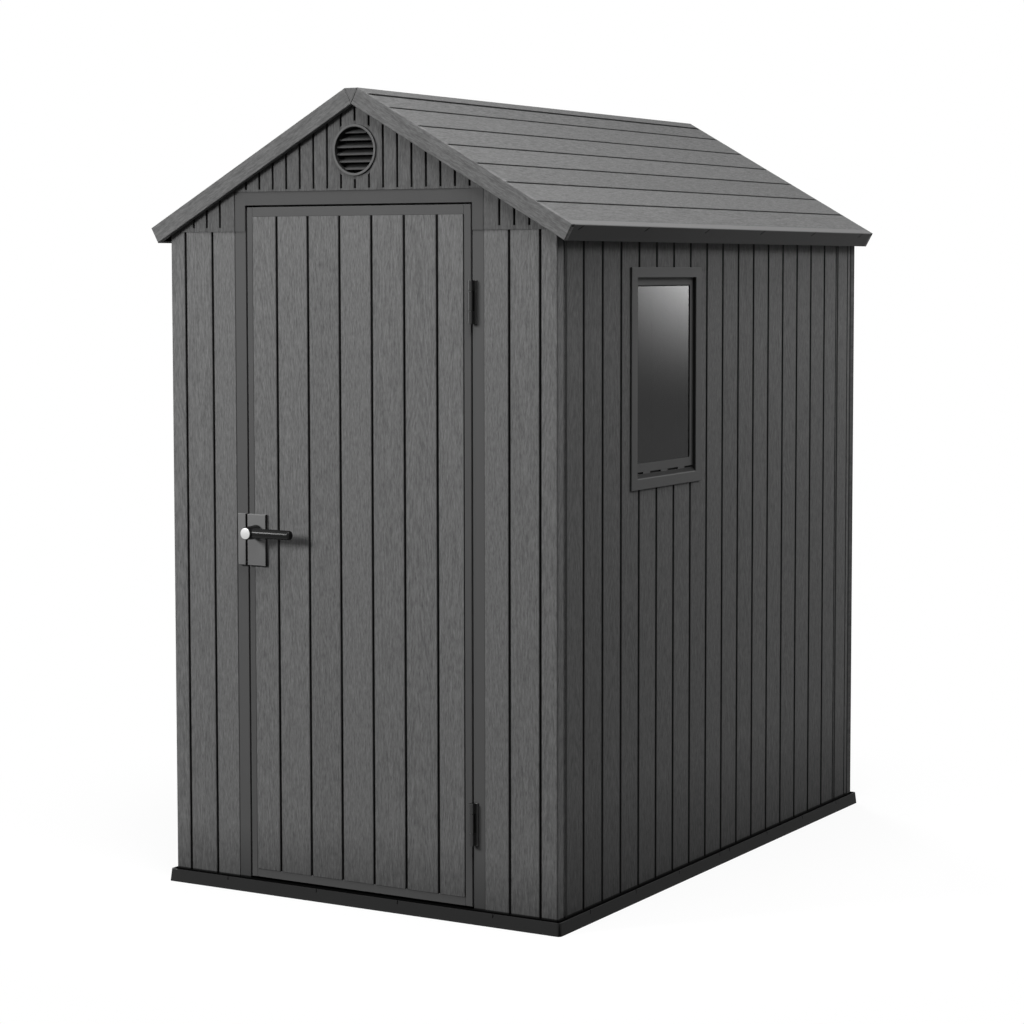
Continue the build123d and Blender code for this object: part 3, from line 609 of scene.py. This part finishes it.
def sash_shade(tree, x, y, z):
    """The step from the sash down to the pane is painted dark, and a painted dark line of shade runs
    under the sash's head.
    """
    step = ramp(tree, x, sash_front - 0.0014, sash_front - 0.0002, 0.15, 1.0)
    off_y = distance(tree, y, (pane_low.y + pane_high.y) / 2)
    head_painted_shade = product(
        tree,
        ramp(tree, distance(tree, z, pane_high.z + 0.0016), 0.0013, 0.0026, 1.0, 0.0),
        calc(tree, "LESS_THAN", off_y, (pane_high.y - pane_low.y) / 2),
    )
    return product(tree, step, scaled(tree, head_painted_shade, -0.88, 1.0))


# %% Shade of the latch
gap_middle = (keeper_edge + plate_low.x) / 2
gap_half = (plate_low.x - keeper_edge) / 2


def latch_shade(tree, x, y, z):
    """The latch plate's end and underside, and its gap to the keeper, are painted in deep shade."""
    end = ramp(tree, x, plate_high.x - 0.0018, plate_high.x - 0.0004, 1.0, 0.08)
    foot = ramp(tree, z, plate_low.z + 0.0002, plate_low.z + 0.0012, 0.25, 1.0)
    off_gap = distance(tree, x, gap_middle)
    gap = ramp(tree, off_gap, gap_half + 0.0001, gap_half + 0.0010, 0.06, 1.0)
    return product(tree, end, foot, gap)


# %% Shade of the vent
vent_middle_z = (vent_low.z + vent_high.z) / 2
vent_bore = 0.057
slat_lit_y = -0.8935
slat_dark_y = -0.8790


def rim_shade(tree, x, y, z):
    """The sleeve's bore and the line where the rim meets the gable are painted in deep shade."""
    rise = minus(tree, z, vent_middle_z)
    squares = total(tree, calc(tree, "POWER", x, 2.0), calc(tree, "POWER", rise, 2.0))
    from_axis = calc(tree, "SQRT", squares)
    bore = ramp(tree, from_axis, vent_bore - 0.0002, vent_bore + 0.0008, 0.10, 1.0)
    skirt = ramp(tree, from_axis, vent_high.x - 0.0011, vent_high.x - 0.0003, 1.0, 0.22)
    return product(tree, bore, skirt)


def slat_shade(tree, x, y, z):
    """A slat fades into painted shade behind its lower front edge."""
    return ramp(tree, y, slat_lit_y, slat_dark_y, 1.0, 0.22)


# %% The smooth mouldings
trim_resin = smooth_resin("trim_resin", 0.080)
header_resin = smooth_resin("header_resin", 0.070)
# The eave trim's dark grey paints its outer side in shade; eave_shade paints its top lighter.
eave_resin = smooth_resin("eave_resin", 0.036, shade=eave_shade)
frame_resin = smooth_resin("frame_resin", 0.084, shade=frame_shade)
sash_resin = smooth_resin("sash_resin", 0.078, shade=sash_shade)
vent_resin = smooth_resin("vent_resin", 0.108, shade=rim_shade)
slat_resin = smooth_resin("slat_resin", 0.062, shade=slat_shade)
tray_resin = smooth_resin("tray_resin", 0.027, specular=0.03, shade=gutter_shade)
tread_resin = smooth_resin("tread_resin", 0.020)
latch_resin = smooth_resin("latch_resin", 0.158, shade=latch_shade)
hinge_black = smooth_resin("hinge_black", 0.005, roughness=0.36, specular=0.5, blast=0.06)
# A dull black for the strip that stands as painted shade in the latch's gap.
shade_strip_black = smooth_resin("shade_strip_black", 0.005, specular=0.02)
lever_black = smooth_resin("lever_black", 0.008, roughness=0.22, specular=0.11)
print("smooth finishes:", sum("resin" in m.name for m in bpy.data.materials))

# %% [markdown]
# ## Clear and bright pieces
# The pane is a smoked sheet: it lets a little light through and mirrors its surroundings at a
# slant. The lever's end is a disc of satin metal.

# %% Pane and cap finishes
pane_smoke, _, pane_shader = new_material("smoked_pane")
pane_smoke_grey = (0.16, 0.16, 0.165, 1)
set_values(pane_shader, {"Base Color": pane_smoke_grey, "Roughness": 0.03})
set_values(pane_shader, {"Transmission Weight": 1.0, "IOR": 1.5})

satin_metal, cap_tree, cap_shader = new_material("satin_metal")
set_values(cap_shader, {"Metallic": 1.0, "Base Color": (0.48, 0.48, 0.478, 1), "Roughness": 0.32})
brushed = noise(cap_tree, own_place(cap_tree), 900.0, 2.0)
press(cap_tree, cap_shader, brushed, 0.3, 0.0001)

# %% [markdown]
# ## Dressing the construction pieces
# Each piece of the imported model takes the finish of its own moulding. One table holds them all, so
# the whole dressing can be read, and changed, in one place.

# %% Assign the finishes
finish_of = {
    front_planks: ["front_wall_left", "front_wall_right"],
    gable_planks: ["front_gable"],
    wing_planks: ["gable_wing_left", "gable_wing_right"],
    door_planks: ["door_panel"],
    side_planks: ["right_wall_front", "right_wall_rear", "left_wall_front", "left_wall_rear"],
    back_planks: ["back_wall_left", "back_wall_right"],
    back_gable_planks: ["back_gable"],
    roof_planks: ["roof_left", "roof_right"],
    ridge_planks: ["ridge_cap"],
    verge_boards: ["front_fascia_left", "front_fascia_right", "rear_fascia_left", "rear_fascia_right"],
    trim_resin: ["door_stile_left", "door_stile_right", "door_rail_top", "door_rail_bottom"],
    header_resin: ["door_header"],
    eave_resin: ["eave_trim_left", "eave_trim_right"],
    vent_resin: ["gable_vent"],
    frame_resin: ["window_frame"],
    sash_resin: ["window_sash"],
    tray_resin: ["floor_left", "floor_right"],
    latch_resin: ["latch_plate", "latch_keeper"],
    hinge_black: ["hinge_upper_frame", "hinge_lower_frame", "hinge_upper_door", "hinge_lower_door"],
    lever_black: ["latch_lever"],
    pane_smoke: ["window_pane"],
    satin_metal: ["lever_cap"],
}
for material, members in finish_of.items():
    for member in members:
        nodes[member].data.materials.clear()
        nodes[member].data.materials.append(material)
print("pieces dressed:", sum(map(len, finish_of.values())), "of", len(nodes))

# %% [markdown]
# ## Turned pieces
# The vent's rim, the lever's hub and rod and its cap are all turned shapes: one outline carried
# round an axis. The outline is a list of points, each a distance from the axis and a place along
# it. Rounded corners come from the outline itself, so each turned piece is smooth from any side.

# %% A helper that turns an outline


def rounded(points, radius, steps=4):
    """The same outline with each inner corner replaced by a small arc."""
    result = [points[0]]
    for before, corner, after in zip(points, points[1:], points[2:]):
        before, corner, after = Vector(before), Vector(corner), Vector(after)
        reach = min(radius, (before - corner).length / 2.2, (after - corner).length / 2.2)
        start = corner + (before - corner).normalized() * reach
        stop = corner + (after - corner).normalized() * reach
        for i in range(steps + 1):
            t = i / steps
            result.append(tuple(start * (1 - t) ** 2 + corner * 2 * t * (1 - t) + stop * t * t))
    result.append(points[-1])
    return result


def mesh_from(name, form):
    """Keep an edited shape as a mesh."""
    mesh = bpy.data.meshes.new(name)
    form.to_mesh(mesh)
    form.free()
    return mesh


def turned(name, outline, centre, axis, turns=96, closed=False):
    """A mesh made by carrying an outline of (distance from the axis, place along it) round an axis."""
    direction = Vector(axis).normalized()
    side = direction.orthogonal().normalized()
    other = direction.cross(side)
    angles = [2 * math.pi * i / turns for i in range(turns)]
    spokes = [side * math.cos(angle) + other * math.sin(angle) for angle in angles]
    form = bmesh.new()
    rings = []
    for radius, place in outline:
        base = Vector(centre) + direction * place
        spots = [base] if radius < 1e-6 else [base + radius * spoke for spoke in spokes]
        rings.append([form.verts.new(spot) for spot in spots])
    pairs = list(zip(rings, rings[1:]))
    if closed:
        pairs.append((rings[-1], rings[0]))
    for first, second in pairs:
        for i in range(turns):
            j = (i + 1) % turns
            if len(first) == 1:
                form.faces.new((first[0], second[i], second[j]))
            elif len(second) == 1:
                form.faces.new((first[i], second[0], first[j]))
            else:
                form.faces.new((first[i], second[i], second[j], first[j]))
    bmesh.ops.recalc_face_normals(form, faces=form.faces)
    for face in form.faces:
        face.smooth = True
    return mesh_from(name, form)


def show(name, mesh, material, body):
    """Put a finished mesh in the scene, on a body of the shed and with its finish."""
    mesh.materials.clear()
    mesh.materials.append(material)
    piece = bpy.data.objects.new(name, mesh)
    bpy.context.scene.collection.objects.link(piece)
    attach(piece, body)
    print(name, "has", len(mesh.polygons), "faces")
    return piece


# %% [markdown]
# ## The vent's rim
# A short sleeve runs through the gable, and a rounded rim stands four millimetres proud of it. One
# closed outline makes both at once, and its round corners catch the light as the real ones do.

# %% The vent's rim
vent_centre = ((vent_low.x + vent_high.x) / 2, 0, vent_middle_z)
vent_middle_y = (vent_low.y + vent_high.y) / 2
rim_radius = (vent_high.x - vent_low.x) / 2
sleeve_radius = vent_bore + 0.003
rim_foot = gable_face + 0.0005
rim_round = 0.0016
rim_outline = rounded(
    [
        (vent_bore, vent_middle_y), (vent_bore, vent_low.y),
        (rim_radius, vent_low.y), (rim_radius, rim_foot),
        (sleeve_radius, rim_foot), (sleeve_radius, vent_high.y),
        (vent_bore, vent_high.y), (vent_bore, vent_middle_y),
    ],
    rim_round,
)
rim_mesh = turned("vent_rim", rim_outline[:-1], vent_centre, (0, 1, 0), turns=128, closed=True)
vent_rim_piece = show("vent_rim", rim_mesh, vent_resin, "shed")
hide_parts("gable_vent")

# %% [markdown]
# ## The vent's slats
# Six sloping slats keep rain out and let air through. Each is the same thin blade, tilted so its
# front edge hangs low, and each is as long as the round sleeve is wide at its height. Geometry
# Nodes fit this well: a line of points gives the heights, a blade is placed on each, and the
# blade's length follows from its height in the circle.

# %% Helpers for geometry trees


def new_shape_tree(name, sizes):
    """A Geometry Nodes tree with an input for each size and one for the finish."""
    inputs = {label: "Int" if isinstance(value, int) else "Float" for label, value in sizes.items()}
    inputs["Finish"] = "Material"
    return new_tree(name, "GeometryNodeTree", inputs, {"Geometry": "Geometry"})


def place_copies(tree, points, shape, rotation, scale, move):
    """A shape placed on every point, turned and sized there, and all of them moved together."""
    inputs = {"Points": points, "Instance": shape, "Rotation": rotation, "Scale": scale}
    copies = add_node(tree, "GeometryNodeInstanceOnPoints", inputs).outputs[0]
    return add_node(tree, "GeometryNodeTransform", {"Geometry": copies, "Translation": move}).outputs[0]


def close_tree(tree, geometry, finish, output):
    """End a tree: real geometry in place of instances, with its material."""
    real = add_node(tree, "GeometryNodeRealizeInstances", {0: geometry})
    painted = add_node(tree, "GeometryNodeSetMaterial", {"Geometry": real.outputs[0], "Material": finish})
    tree.links.new(painted.outputs[0], output["Geometry"])


def grow(name, tree, sizes, finish):
    """Run a tree on an empty object with the given sizes, and keep the result as a plain mesh."""
    holder_mesh = bpy.data.meshes.new(name + "_holder")
    holder = bpy.data.objects.new(name + "_holder", holder_mesh)
    bpy.context.scene.collection.objects.link(holder)
    modifier = holder.modifiers.new("shape", "NODES")
    modifier.node_group = tree
    values = dict(sizes, Finish=finish)
    for item in tree.interface.items_tree:
        if item.in_out == "INPUT" and item.name in values:
            modifier[item.identifier] = values[item.name]
    bpy.context.view_layer.update()
    shaped = holder.evaluated_get(bpy.context.evaluated_depsgraph_get())
    mesh = bpy.data.meshes.new_from_object(shaped)
    mesh.name = name
    bpy.data.objects.remove(holder)
    bpy.data.meshes.remove(holder_mesh)
    return mesh


# %% The slats' heights and lengths
slat_sizes = {
    "Count": 6, "Pitch": 0.018, "Lift": 0.0037, "Bore": 0.0578,
    "Depth": 0.022, "Thickness": 0.0028, "Tilt": math.radians(40),
    "Middle height": vent_middle_z, "Front": -0.893,
}
slats, slat_in, slat_out = new_shape_tree("sloping slats", slat_sizes)
gaps = minus(slats, slat_in["Count"], 1.0)
first_height = product(slats, gaps, slat_in["Pitch"], -0.5)
heights = add_node(slats, "GeometryNodeMeshLine", {
    "Count": slat_in["Count"],
    "Start Location": combine(slats, 0, 0, total(slats, first_height, slat_in["Lift"])),
    "Offset": combine(slats, 0, 0, slat_in["Pitch"]),
})
height_here = split(slats, add_node(slats, "GeometryNodeInputPosition").outputs[0])[2]
bore_square = calc(slats, "POWER", slat_in["Bore"], 2.0)
chord_square = minus(slats, bore_square, calc(slats, "POWER", height_here, 2.0))
chord = calc(slats, "SQRT", calc(slats, "MAXIMUM", chord_square, 0.00001))

# %% The slats
slat_outline = add_node(slats, "GeometryNodeCurvePrimitiveQuadrilateral", {
    "Width": slat_in["Depth"], "Height": slat_in["Thickness"],
})
soft_outline = add_node(slats, "GeometryNodeFilletCurve", {
    "Curve": slat_outline.outputs[0], "Radius": product(slats, slat_in["Thickness"], 0.42),
}, mode="POLY")
run = add_node(slats, "GeometryNodeCurvePrimitiveLine", {"Start": (-1, 0, 0), "End": (1, 0, 0)})
blade = add_node(slats, "GeometryNodeCurveToMesh", {
    "Curve": run.outputs[0], "Profile Curve": soft_outline.outputs[0], "Fill Caps": True,
})
slat_y = total(slats, slat_in["Front"], product(slats, slat_in["Depth"], 0.5))
placed = place_copies(
    slats, heights.outputs[0], blade.outputs[0],
    rotation=combine(slats, slat_in["Tilt"], 0, 0),
    scale=combine(slats, chord, 1, 1),
    move=combine(slats, 0, slat_y, slat_in["Middle height"]),
)
close_tree(slats, placed, slat_in["Finish"], slat_out)
slat_mesh = grow("vent_slats", slats, slat_sizes, slat_resin)
show("vent_slats", slat_mesh, slat_resin, "shed")

# %% [markdown]
# ## The latch lever
# A round hub stands on the latch plate, and a rod leaves its side for the hand. Hub and rod are
# moulded in one from black resin, with a slight taper that lets them leave the mould, so their
# outlines lean by a fraction of a millimetre. The hub's nose holds a disc of satin metal.

# %% Hub, rod and cap
cap_low, cap_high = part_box("lever_cap")
hub_x = (cap_low.x + cap_high.x) / 2
hub_z = (cap_low.z + cap_high.z) / 2
hub_seat = plate_low.y - 0.0003
hub_nose = cap_high.y
socket_radius = 0.0078
socket_depth = 0.0075
hub_outline = rounded(
    [
        (0.0, hub_seat + socket_depth), (socket_radius, hub_seat + socket_depth),
        (socket_radius, hub_seat), (0.0188, hub_seat), (0.0160, hub_nose), (0.0, hub_nose),
    ],
    0.0016,
)
hub_mesh = turned("lever_hub", hub_outline, (hub_x, 0, hub_z), (0, 1, 0))
lever_hub = show("lever_hub", hub_mesh, lever_black, "lever")
rod_y = plate_low.y - 0.031
rod_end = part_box("latch_lever")[1].x
rod_outline = rounded(
    [
        (0.0, hub_x), (0.0122, hub_x), (0.0125, hub_x + 0.03),
        (0.0119, rod_end - 0.004), (0.0082, rod_end), (0.0, rod_end),
    ],
    0.0022,
)
rod_mesh = turned("lever_rod", rod_outline, (0, rod_y, hub_z), (1, 0, 0))
show("lever_rod", rod_mesh, lever_black, "lever")
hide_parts("latch_lever")
cap_radius = (cap_high.x - cap_low.x) / 2 * 0.96
cap_outline = rounded(
    [(0.0, cap_high.y), (cap_radius, cap_high.y), (cap_radius, cap_low.y), (0.0, cap_low.y)], 0.0009
)
cap_mesh = turned("cap_disc", cap_outline, (hub_x, 0, hub_z), (0, 1, 0))
cap_disc = show("cap_disc", cap_mesh, satin_metal, "lever")
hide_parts("lever_cap")

# %% [markdown]
# ## The hinges
# A hinge is a black barrel in three knuckles on one pin: the frame carries the upper and the lower
# one, and the door carries the middle one. A thin leaf joins the frame's knuckles to the jamb, and
# the door's knuckle has a short leaf that is let into the stile. Each knuckle is turned, with
# rounded ends, so that a narrow line of light runs down the barrel. A row of points just inside
# each end keeps the long faces between them straight for the light.

# %% Helpers for plates


def leaf_form(name, low, high, edge=0.0006):
    """A thin plate with softened edges between two corners."""
    form = bmesh.new()
    bmesh.ops.create_cube(form, size=1.0)
    for vert in form.verts:
        for i in range(3):
            vert.co[i] = low[i] if vert.co[i] < 0 else high[i]
    bmesh.ops.bevel(form, geom=list(form.edges), offset=edge, segments=2, profile=0.5, affect="EDGES")
    bmesh.ops.recalc_face_normals(form, faces=form.faces)
    return mesh_from(name, form)


def joined(name, meshes):
    """One mesh from several."""
    form = bmesh.new()
    for mesh in meshes:
        form.from_mesh(mesh)
        bpy.data.meshes.remove(mesh)
    return mesh_from(name, form)


# %% Hinge barrels and leaves
knuckle_gap = 0.0005
knuckle_round = 0.0012
end_row = 0.0026
leaf_thickness = 0.004
tongue_reach = 0.0055
for level in ("upper", "lower"):
    frame_leaf = "hinge_" + level + "_frame"
    door_leaf = "hinge_" + level + "_door"
    frame_low, frame_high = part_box(frame_leaf)
    knuckle_low, knuckle_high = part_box(door_leaf)
    barrel_radius = (knuckle_high.x - frame_low.x) / 2
    pin_x = (knuckle_high.x + frame_low.x) / 2
    pin_y = frame_low.y + barrel_radius
    spans = [
        (frame_low.z, knuckle_low.z - knuckle_gap),
        (knuckle_low.z, knuckle_high.z),
        (knuckle_high.z + knuckle_gap, frame_high.z),
    ]
    knuckles = []
    for foot, top in spans:
        rows = [(barrel_radius, z) for z in (foot, foot + end_row, top - end_row, top)]
        outline = rounded([(0.0, foot), *rows, (0.0, top)], knuckle_round)
        knuckles.append(turned("knuckle", outline, (pin_x, pin_y, 0), (0, 0, 1), turns=48))
    jamb_low = (pin_x, frame_high.y - leaf_thickness, frame_low.z)
    jamb_leaf = leaf_form("leaf", jamb_low, frame_high)
    necks = [
        leaf_form("neck", (pin_x, pin_y, foot), (pin_x + barrel_radius, frame_high.y, top))
        for foot, top in (spans[0], spans[2])
    ]
    door_neck_low = (pin_x - barrel_radius, pin_y, knuckle_low.z)
    door_neck = leaf_form("neck", door_neck_low, (pin_x, knuckle_high.y, knuckle_high.z))
    tongue_low = (
        stile_edge - tongue_reach, knuckle_high.y - leaf_thickness, knuckle_low.z + knuckle_gap
    )
    tongue_high = (pin_x, knuckle_high.y, knuckle_high.z - knuckle_gap)
    tongue = leaf_form("leaf", tongue_low, tongue_high)
    frame_name, door_name = "barrel_" + level + "_frame", "barrel_" + level + "_door"
    frame_mesh = joined(frame_name, [knuckles[0], knuckles[2], jamb_leaf] + necks)
    door_mesh = joined(door_name, [knuckles[1], door_neck, tongue])
    frame_part = show(frame_name, frame_mesh, hinge_black, "shed")
    door_part = show(door_name, door_mesh, hinge_black, "door")
    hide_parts(frame_leaf)
    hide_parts(door_leaf)

# %% [markdown]
# ## The latch's dark strip
# A black strip fills the gap between the keeper on the jamb and the plate on the door, a dark piece
# put there as painted shade. It stays on the jamb when the door opens, so it touches the keeper and
# stops short of the plate.

# %% The dark strip of painted shade
shade_strip_front = -0.8968
shade_strip_back = -0.8925
shade_strip_mesh = leaf_form(
    "latch_shade_strip",
    (keeper_edge - 0.0002, shade_strip_front, plate_low.z + 0.0005),
    (plate_low.x - 0.0006, shade_strip_back, plate_high.z - 0.0005),
    0.0004,
)
show("latch_shade_strip", shade_strip_mesh, shade_strip_black, "shed")

# %% [markdown]
# ## The floor's tread
# The floor tray has a tread of low pads, so a wet floor isn't slippery. It is seen when the door
# stands open. One pad is placed many times on a grid by Geometry Nodes.

# %% The tread's tree
tread_sizes = {
    "Pad length": 0.030, "Pad width": 0.011, "Pad height": 0.0012, "Step": 0.041,
    "Size X": 1.04, "Size Y": 1.66, "Deck": 0.028, "Centre Y": room_middle_y,
}
tread, tread_in, tread_out = new_shape_tree("floor tread", tread_sizes)


def pads_in(size):
    """How many pads stand in a row that is as long as the given size."""
    steps = calc(tread, "DIVIDE", tread_in[size], tread_in["Step"])
    return total(tread, calc(tread, "FLOOR", steps), 1.0)


count_x, count_y = pads_in("Size X"), pads_in("Size Y")
lattice = add_node(tread, "GeometryNodeMeshGrid", {
    "Size X": tread_in["Size X"], "Size Y": tread_in["Size Y"],
    "Vertices X": count_x, "Vertices Y": count_y,
})
pad = add_node(tread, "GeometryNodeMeshCylinder", {
    "Vertices": 12, "Radius": 0.5, "Depth": 1.0, "Fill Segments": 1,
})
index = add_node(tread, "GeometryNodeInputIndex").outputs[0]
row = calc(tread, "FLOOR", calc(tread, "DIVIDE", index, count_y))
turn = calc(tread, "MODULO", total(tread, index, row), 2.0)
pad_z = total(tread, tread_in["Deck"], product(tread, tread_in["Pad height"], 0.35))
pads = place_copies(
    tread, lattice.outputs[0], pad.outputs[0],
    rotation=combine(tread, 0, 0, scaled(tread, turn, math.pi / 2, math.pi / 4)),
    scale=combine(tread, tread_in["Pad length"], tread_in["Pad width"], tread_in["Pad height"]),
    move=combine(tread, 0, tread_in["Centre Y"], pad_z),
)
close_tree(tread, pads, tread_in["Finish"], tread_out)
tread_mesh = grow("floor_tread", tread, tread_sizes, tread_resin)
show("floor_tread", tread_mesh, tread_resin, "shed")

# %% [markdown]
# ## The studio floor
# The shed stands on a floor that the camera sees as white, a little greyer close by, and that
# throws hardly any light back. One material does both: it asks what kind of ray meets it, and it
# glows for the camera's rays and mirror-like ones only.

# %% Helpers for the studio


def seen_directly(tree):
    """1 for the rays of the camera, of mirrors and of panes, and 0 for gathered light."""
    rays = add_node(tree, "ShaderNodeLightPath").outputs
    seen = calc(tree, "MAXIMUM", rays["Is Camera Ray"], rays["Is Glossy Ray"])
    return calc(tree, "MAXIMUM", seen, rays["Is Transmission Ray"])


def blend_surface(tree, share, first, second):
    """Two shaders blended by a share, as the surface of the material."""
    blend = add_node(tree, "ShaderNodeMixShader", {0: share, 1: first.outputs[0], 2: second.outputs[0]})
    tree.links.new(blend.outputs[0], tree.nodes["Material Output"].inputs["Surface"])


def glowing(tree, strength):
    """A white glow."""
    return add_node(tree, "ShaderNodeEmission", {"Color": (1, 1, 1, 1), "Strength": strength})


def flat_sheet(name, corners, material):
    """A flat sheet between four corners."""
    mesh = bpy.data.meshes.new(name)
    mesh.from_pydata(corners, [], [(0, 1, 2, 3)])
    mesh.materials.append(material)
    sheet = bpy.data.objects.new(name, mesh)
    bpy.context.scene.collection.objects.link(sheet)
    return sheet


# %% Floor
floor_size = 60.0
floor_seen_grey = 0.95
floor_light_grey = 0.05
glow_near = (0.9, 0.86)
glow_far = (1.9, 1.0)

floor_white, floor_tree, _ = new_material("studio_white")
floor_seen = seen_directly(floor_tree)
floor_grey = scaled(floor_tree, floor_seen, floor_seen_grey - floor_light_grey, floor_light_grey)
floor_diffuse = add_node(floor_tree, "ShaderNodeBsdfDiffuse", {"Color": grey_of(floor_tree, floor_grey)})
from_shed = add_node(
    floor_tree, "ShaderNodeVectorMath", {0: own_place(floor_tree)}, operation="LENGTH"
).outputs["Value"]
glow_share = ramp(floor_tree, from_shed, glow_near[0], glow_far[0], glow_near[1], glow_far[1])
floor_share = product(floor_tree, floor_seen, glow_share)
blend_surface(floor_tree, floor_share, floor_diffuse, glowing(floor_tree, 1.0))

corners = [(x * floor_size, y * floor_size, 0) for x, y in ((-1, -1), (1, -1), (1, 1), (-1, 1))]
studio_floor = flat_sheet("studio_floor", corners, floor_white)

# %% [markdown]
# ## The card that the window mirrors
# A window pane shows what stands opposite. A glowing card stands out of the picture, where the
# pane's mirror image of it falls, brighter towards its top and its far side. Only mirror-like rays
# meet it, so it lights nothing else.

# %% The card's glow
card_middle = Vector((1.71, 1.90, 1.24))
card_across = Vector((0.89, -0.455, 0.0)).normalized()
card_low_z = 1.08
card_high_z = 1.50
card_dark = 0.30
card_bright = 1.85
card_lean = 4.5
card_least = 0.2
card_curve = 2.6

card_glow, card_tree, _ = new_material("card_glow")
card_place = own_place(card_tree)
card_height = minus(card_tree, split(card_tree, card_place)[2], card_low_z)
card_climb = calc(card_tree, "DIVIDE", card_height, card_high_z - card_low_z)
card_rise = calc(card_tree, "POWER", calc(card_tree, "MAXIMUM", card_climb, 0.0), card_curve)
card_along = along_axis(card_tree, card_place, tuple(-card_across))
card_off = minus(card_tree, card_along, -card_middle.dot(card_across))
card_side = scaled(card_tree, card_off, card_lean, 1.0)
card_share = product(card_tree, card_rise, calc(card_tree, "MAXIMUM", card_side, card_least))
card_level = scaled(card_tree, card_share, card_bright, card_dark)
mirrored_ray = add_node(card_tree, "ShaderNodeLightPath").outputs["Is Glossy Ray"]
card_clear = add_node(card_tree, "ShaderNodeBsdfTransparent")
blend_surface(card_tree, mirrored_ray, card_clear, glowing(card_tree, card_level))

# %% The card
card_spots = ((-0.3, -0.6), (0.3, -0.6), (0.3, 0.55), (-0.3, 0.55))
card_corners = [tuple(card_middle + card_across * u + Vector((0, 0, v))) for u, v in card_spots]
mirror_card = flat_sheet("mirror_card", card_corners, card_glow)

# %% [markdown]
# ## Surround and lamps
# The camera and mirror-like surfaces see the surround as white, while the shed is lit by it only
# softly. A broad key lamp stands high in front and to the left, so the front is bright, the roof
# brighter and the right wall in shade. A fourth lamp stands behind, so the hidden sides are as
# plain to see as the front. Broad square lamps are used because their shadows have soft edges.

# %% Surround
surround = bpy.data.worlds.new("studio_surround")
bpy.context.scene.world = surround
surround.use_nodes = True
sky = surround.node_tree
sky_level = 0.12
sky_strength = scaled(sky, seen_directly(sky), 1.0 - sky_level, sky_level)
background = sky.nodes["Background"].inputs
background["Color"].default_value = (1, 1, 1, 1)
sky.links.new(sky_strength, background["Strength"])

# %% Lamps


def soft_lamp(name, place, aim, size, watts):
    """A square soft lamp that hangs at a place and faces a point."""
    data = bpy.data.lights.new(name, "AREA")
    data.shape = "SQUARE"
    data.size = size
    data.energy = watts
    lamp = bpy.data.objects.new(name, data)
    lamp.location = place
    lamp.rotation_euler = (Vector(aim) - Vector(place)).to_track_quat("-Z", "Y").to_euler()
    bpy.context.scene.collection.objects.link(lamp)


soft_lamp("key_lamp", (-3.5, -5.0, 3.0), (0, -0.9, 1.2), 1.7, 312)
soft_lamp("roof_lamp", (1.0, -1.8, 4.2), (1.0, -1.8, 0), 2.0, 122)
soft_lamp("side_lamp", (2.9, 1.75, 3.6), (0.57, 0.3, 1.0), 1.5, 102)
soft_lamp("back_lamp", (-4.2, 4.8, 2.8), (-0.2, 0.5, 1.1), 2.0, 260)

# %% [markdown]
# ## Finish
# The render keeps colours as they are written.

# %% Colour
bpy.context.scene.view_settings.view_transform = "Standard"
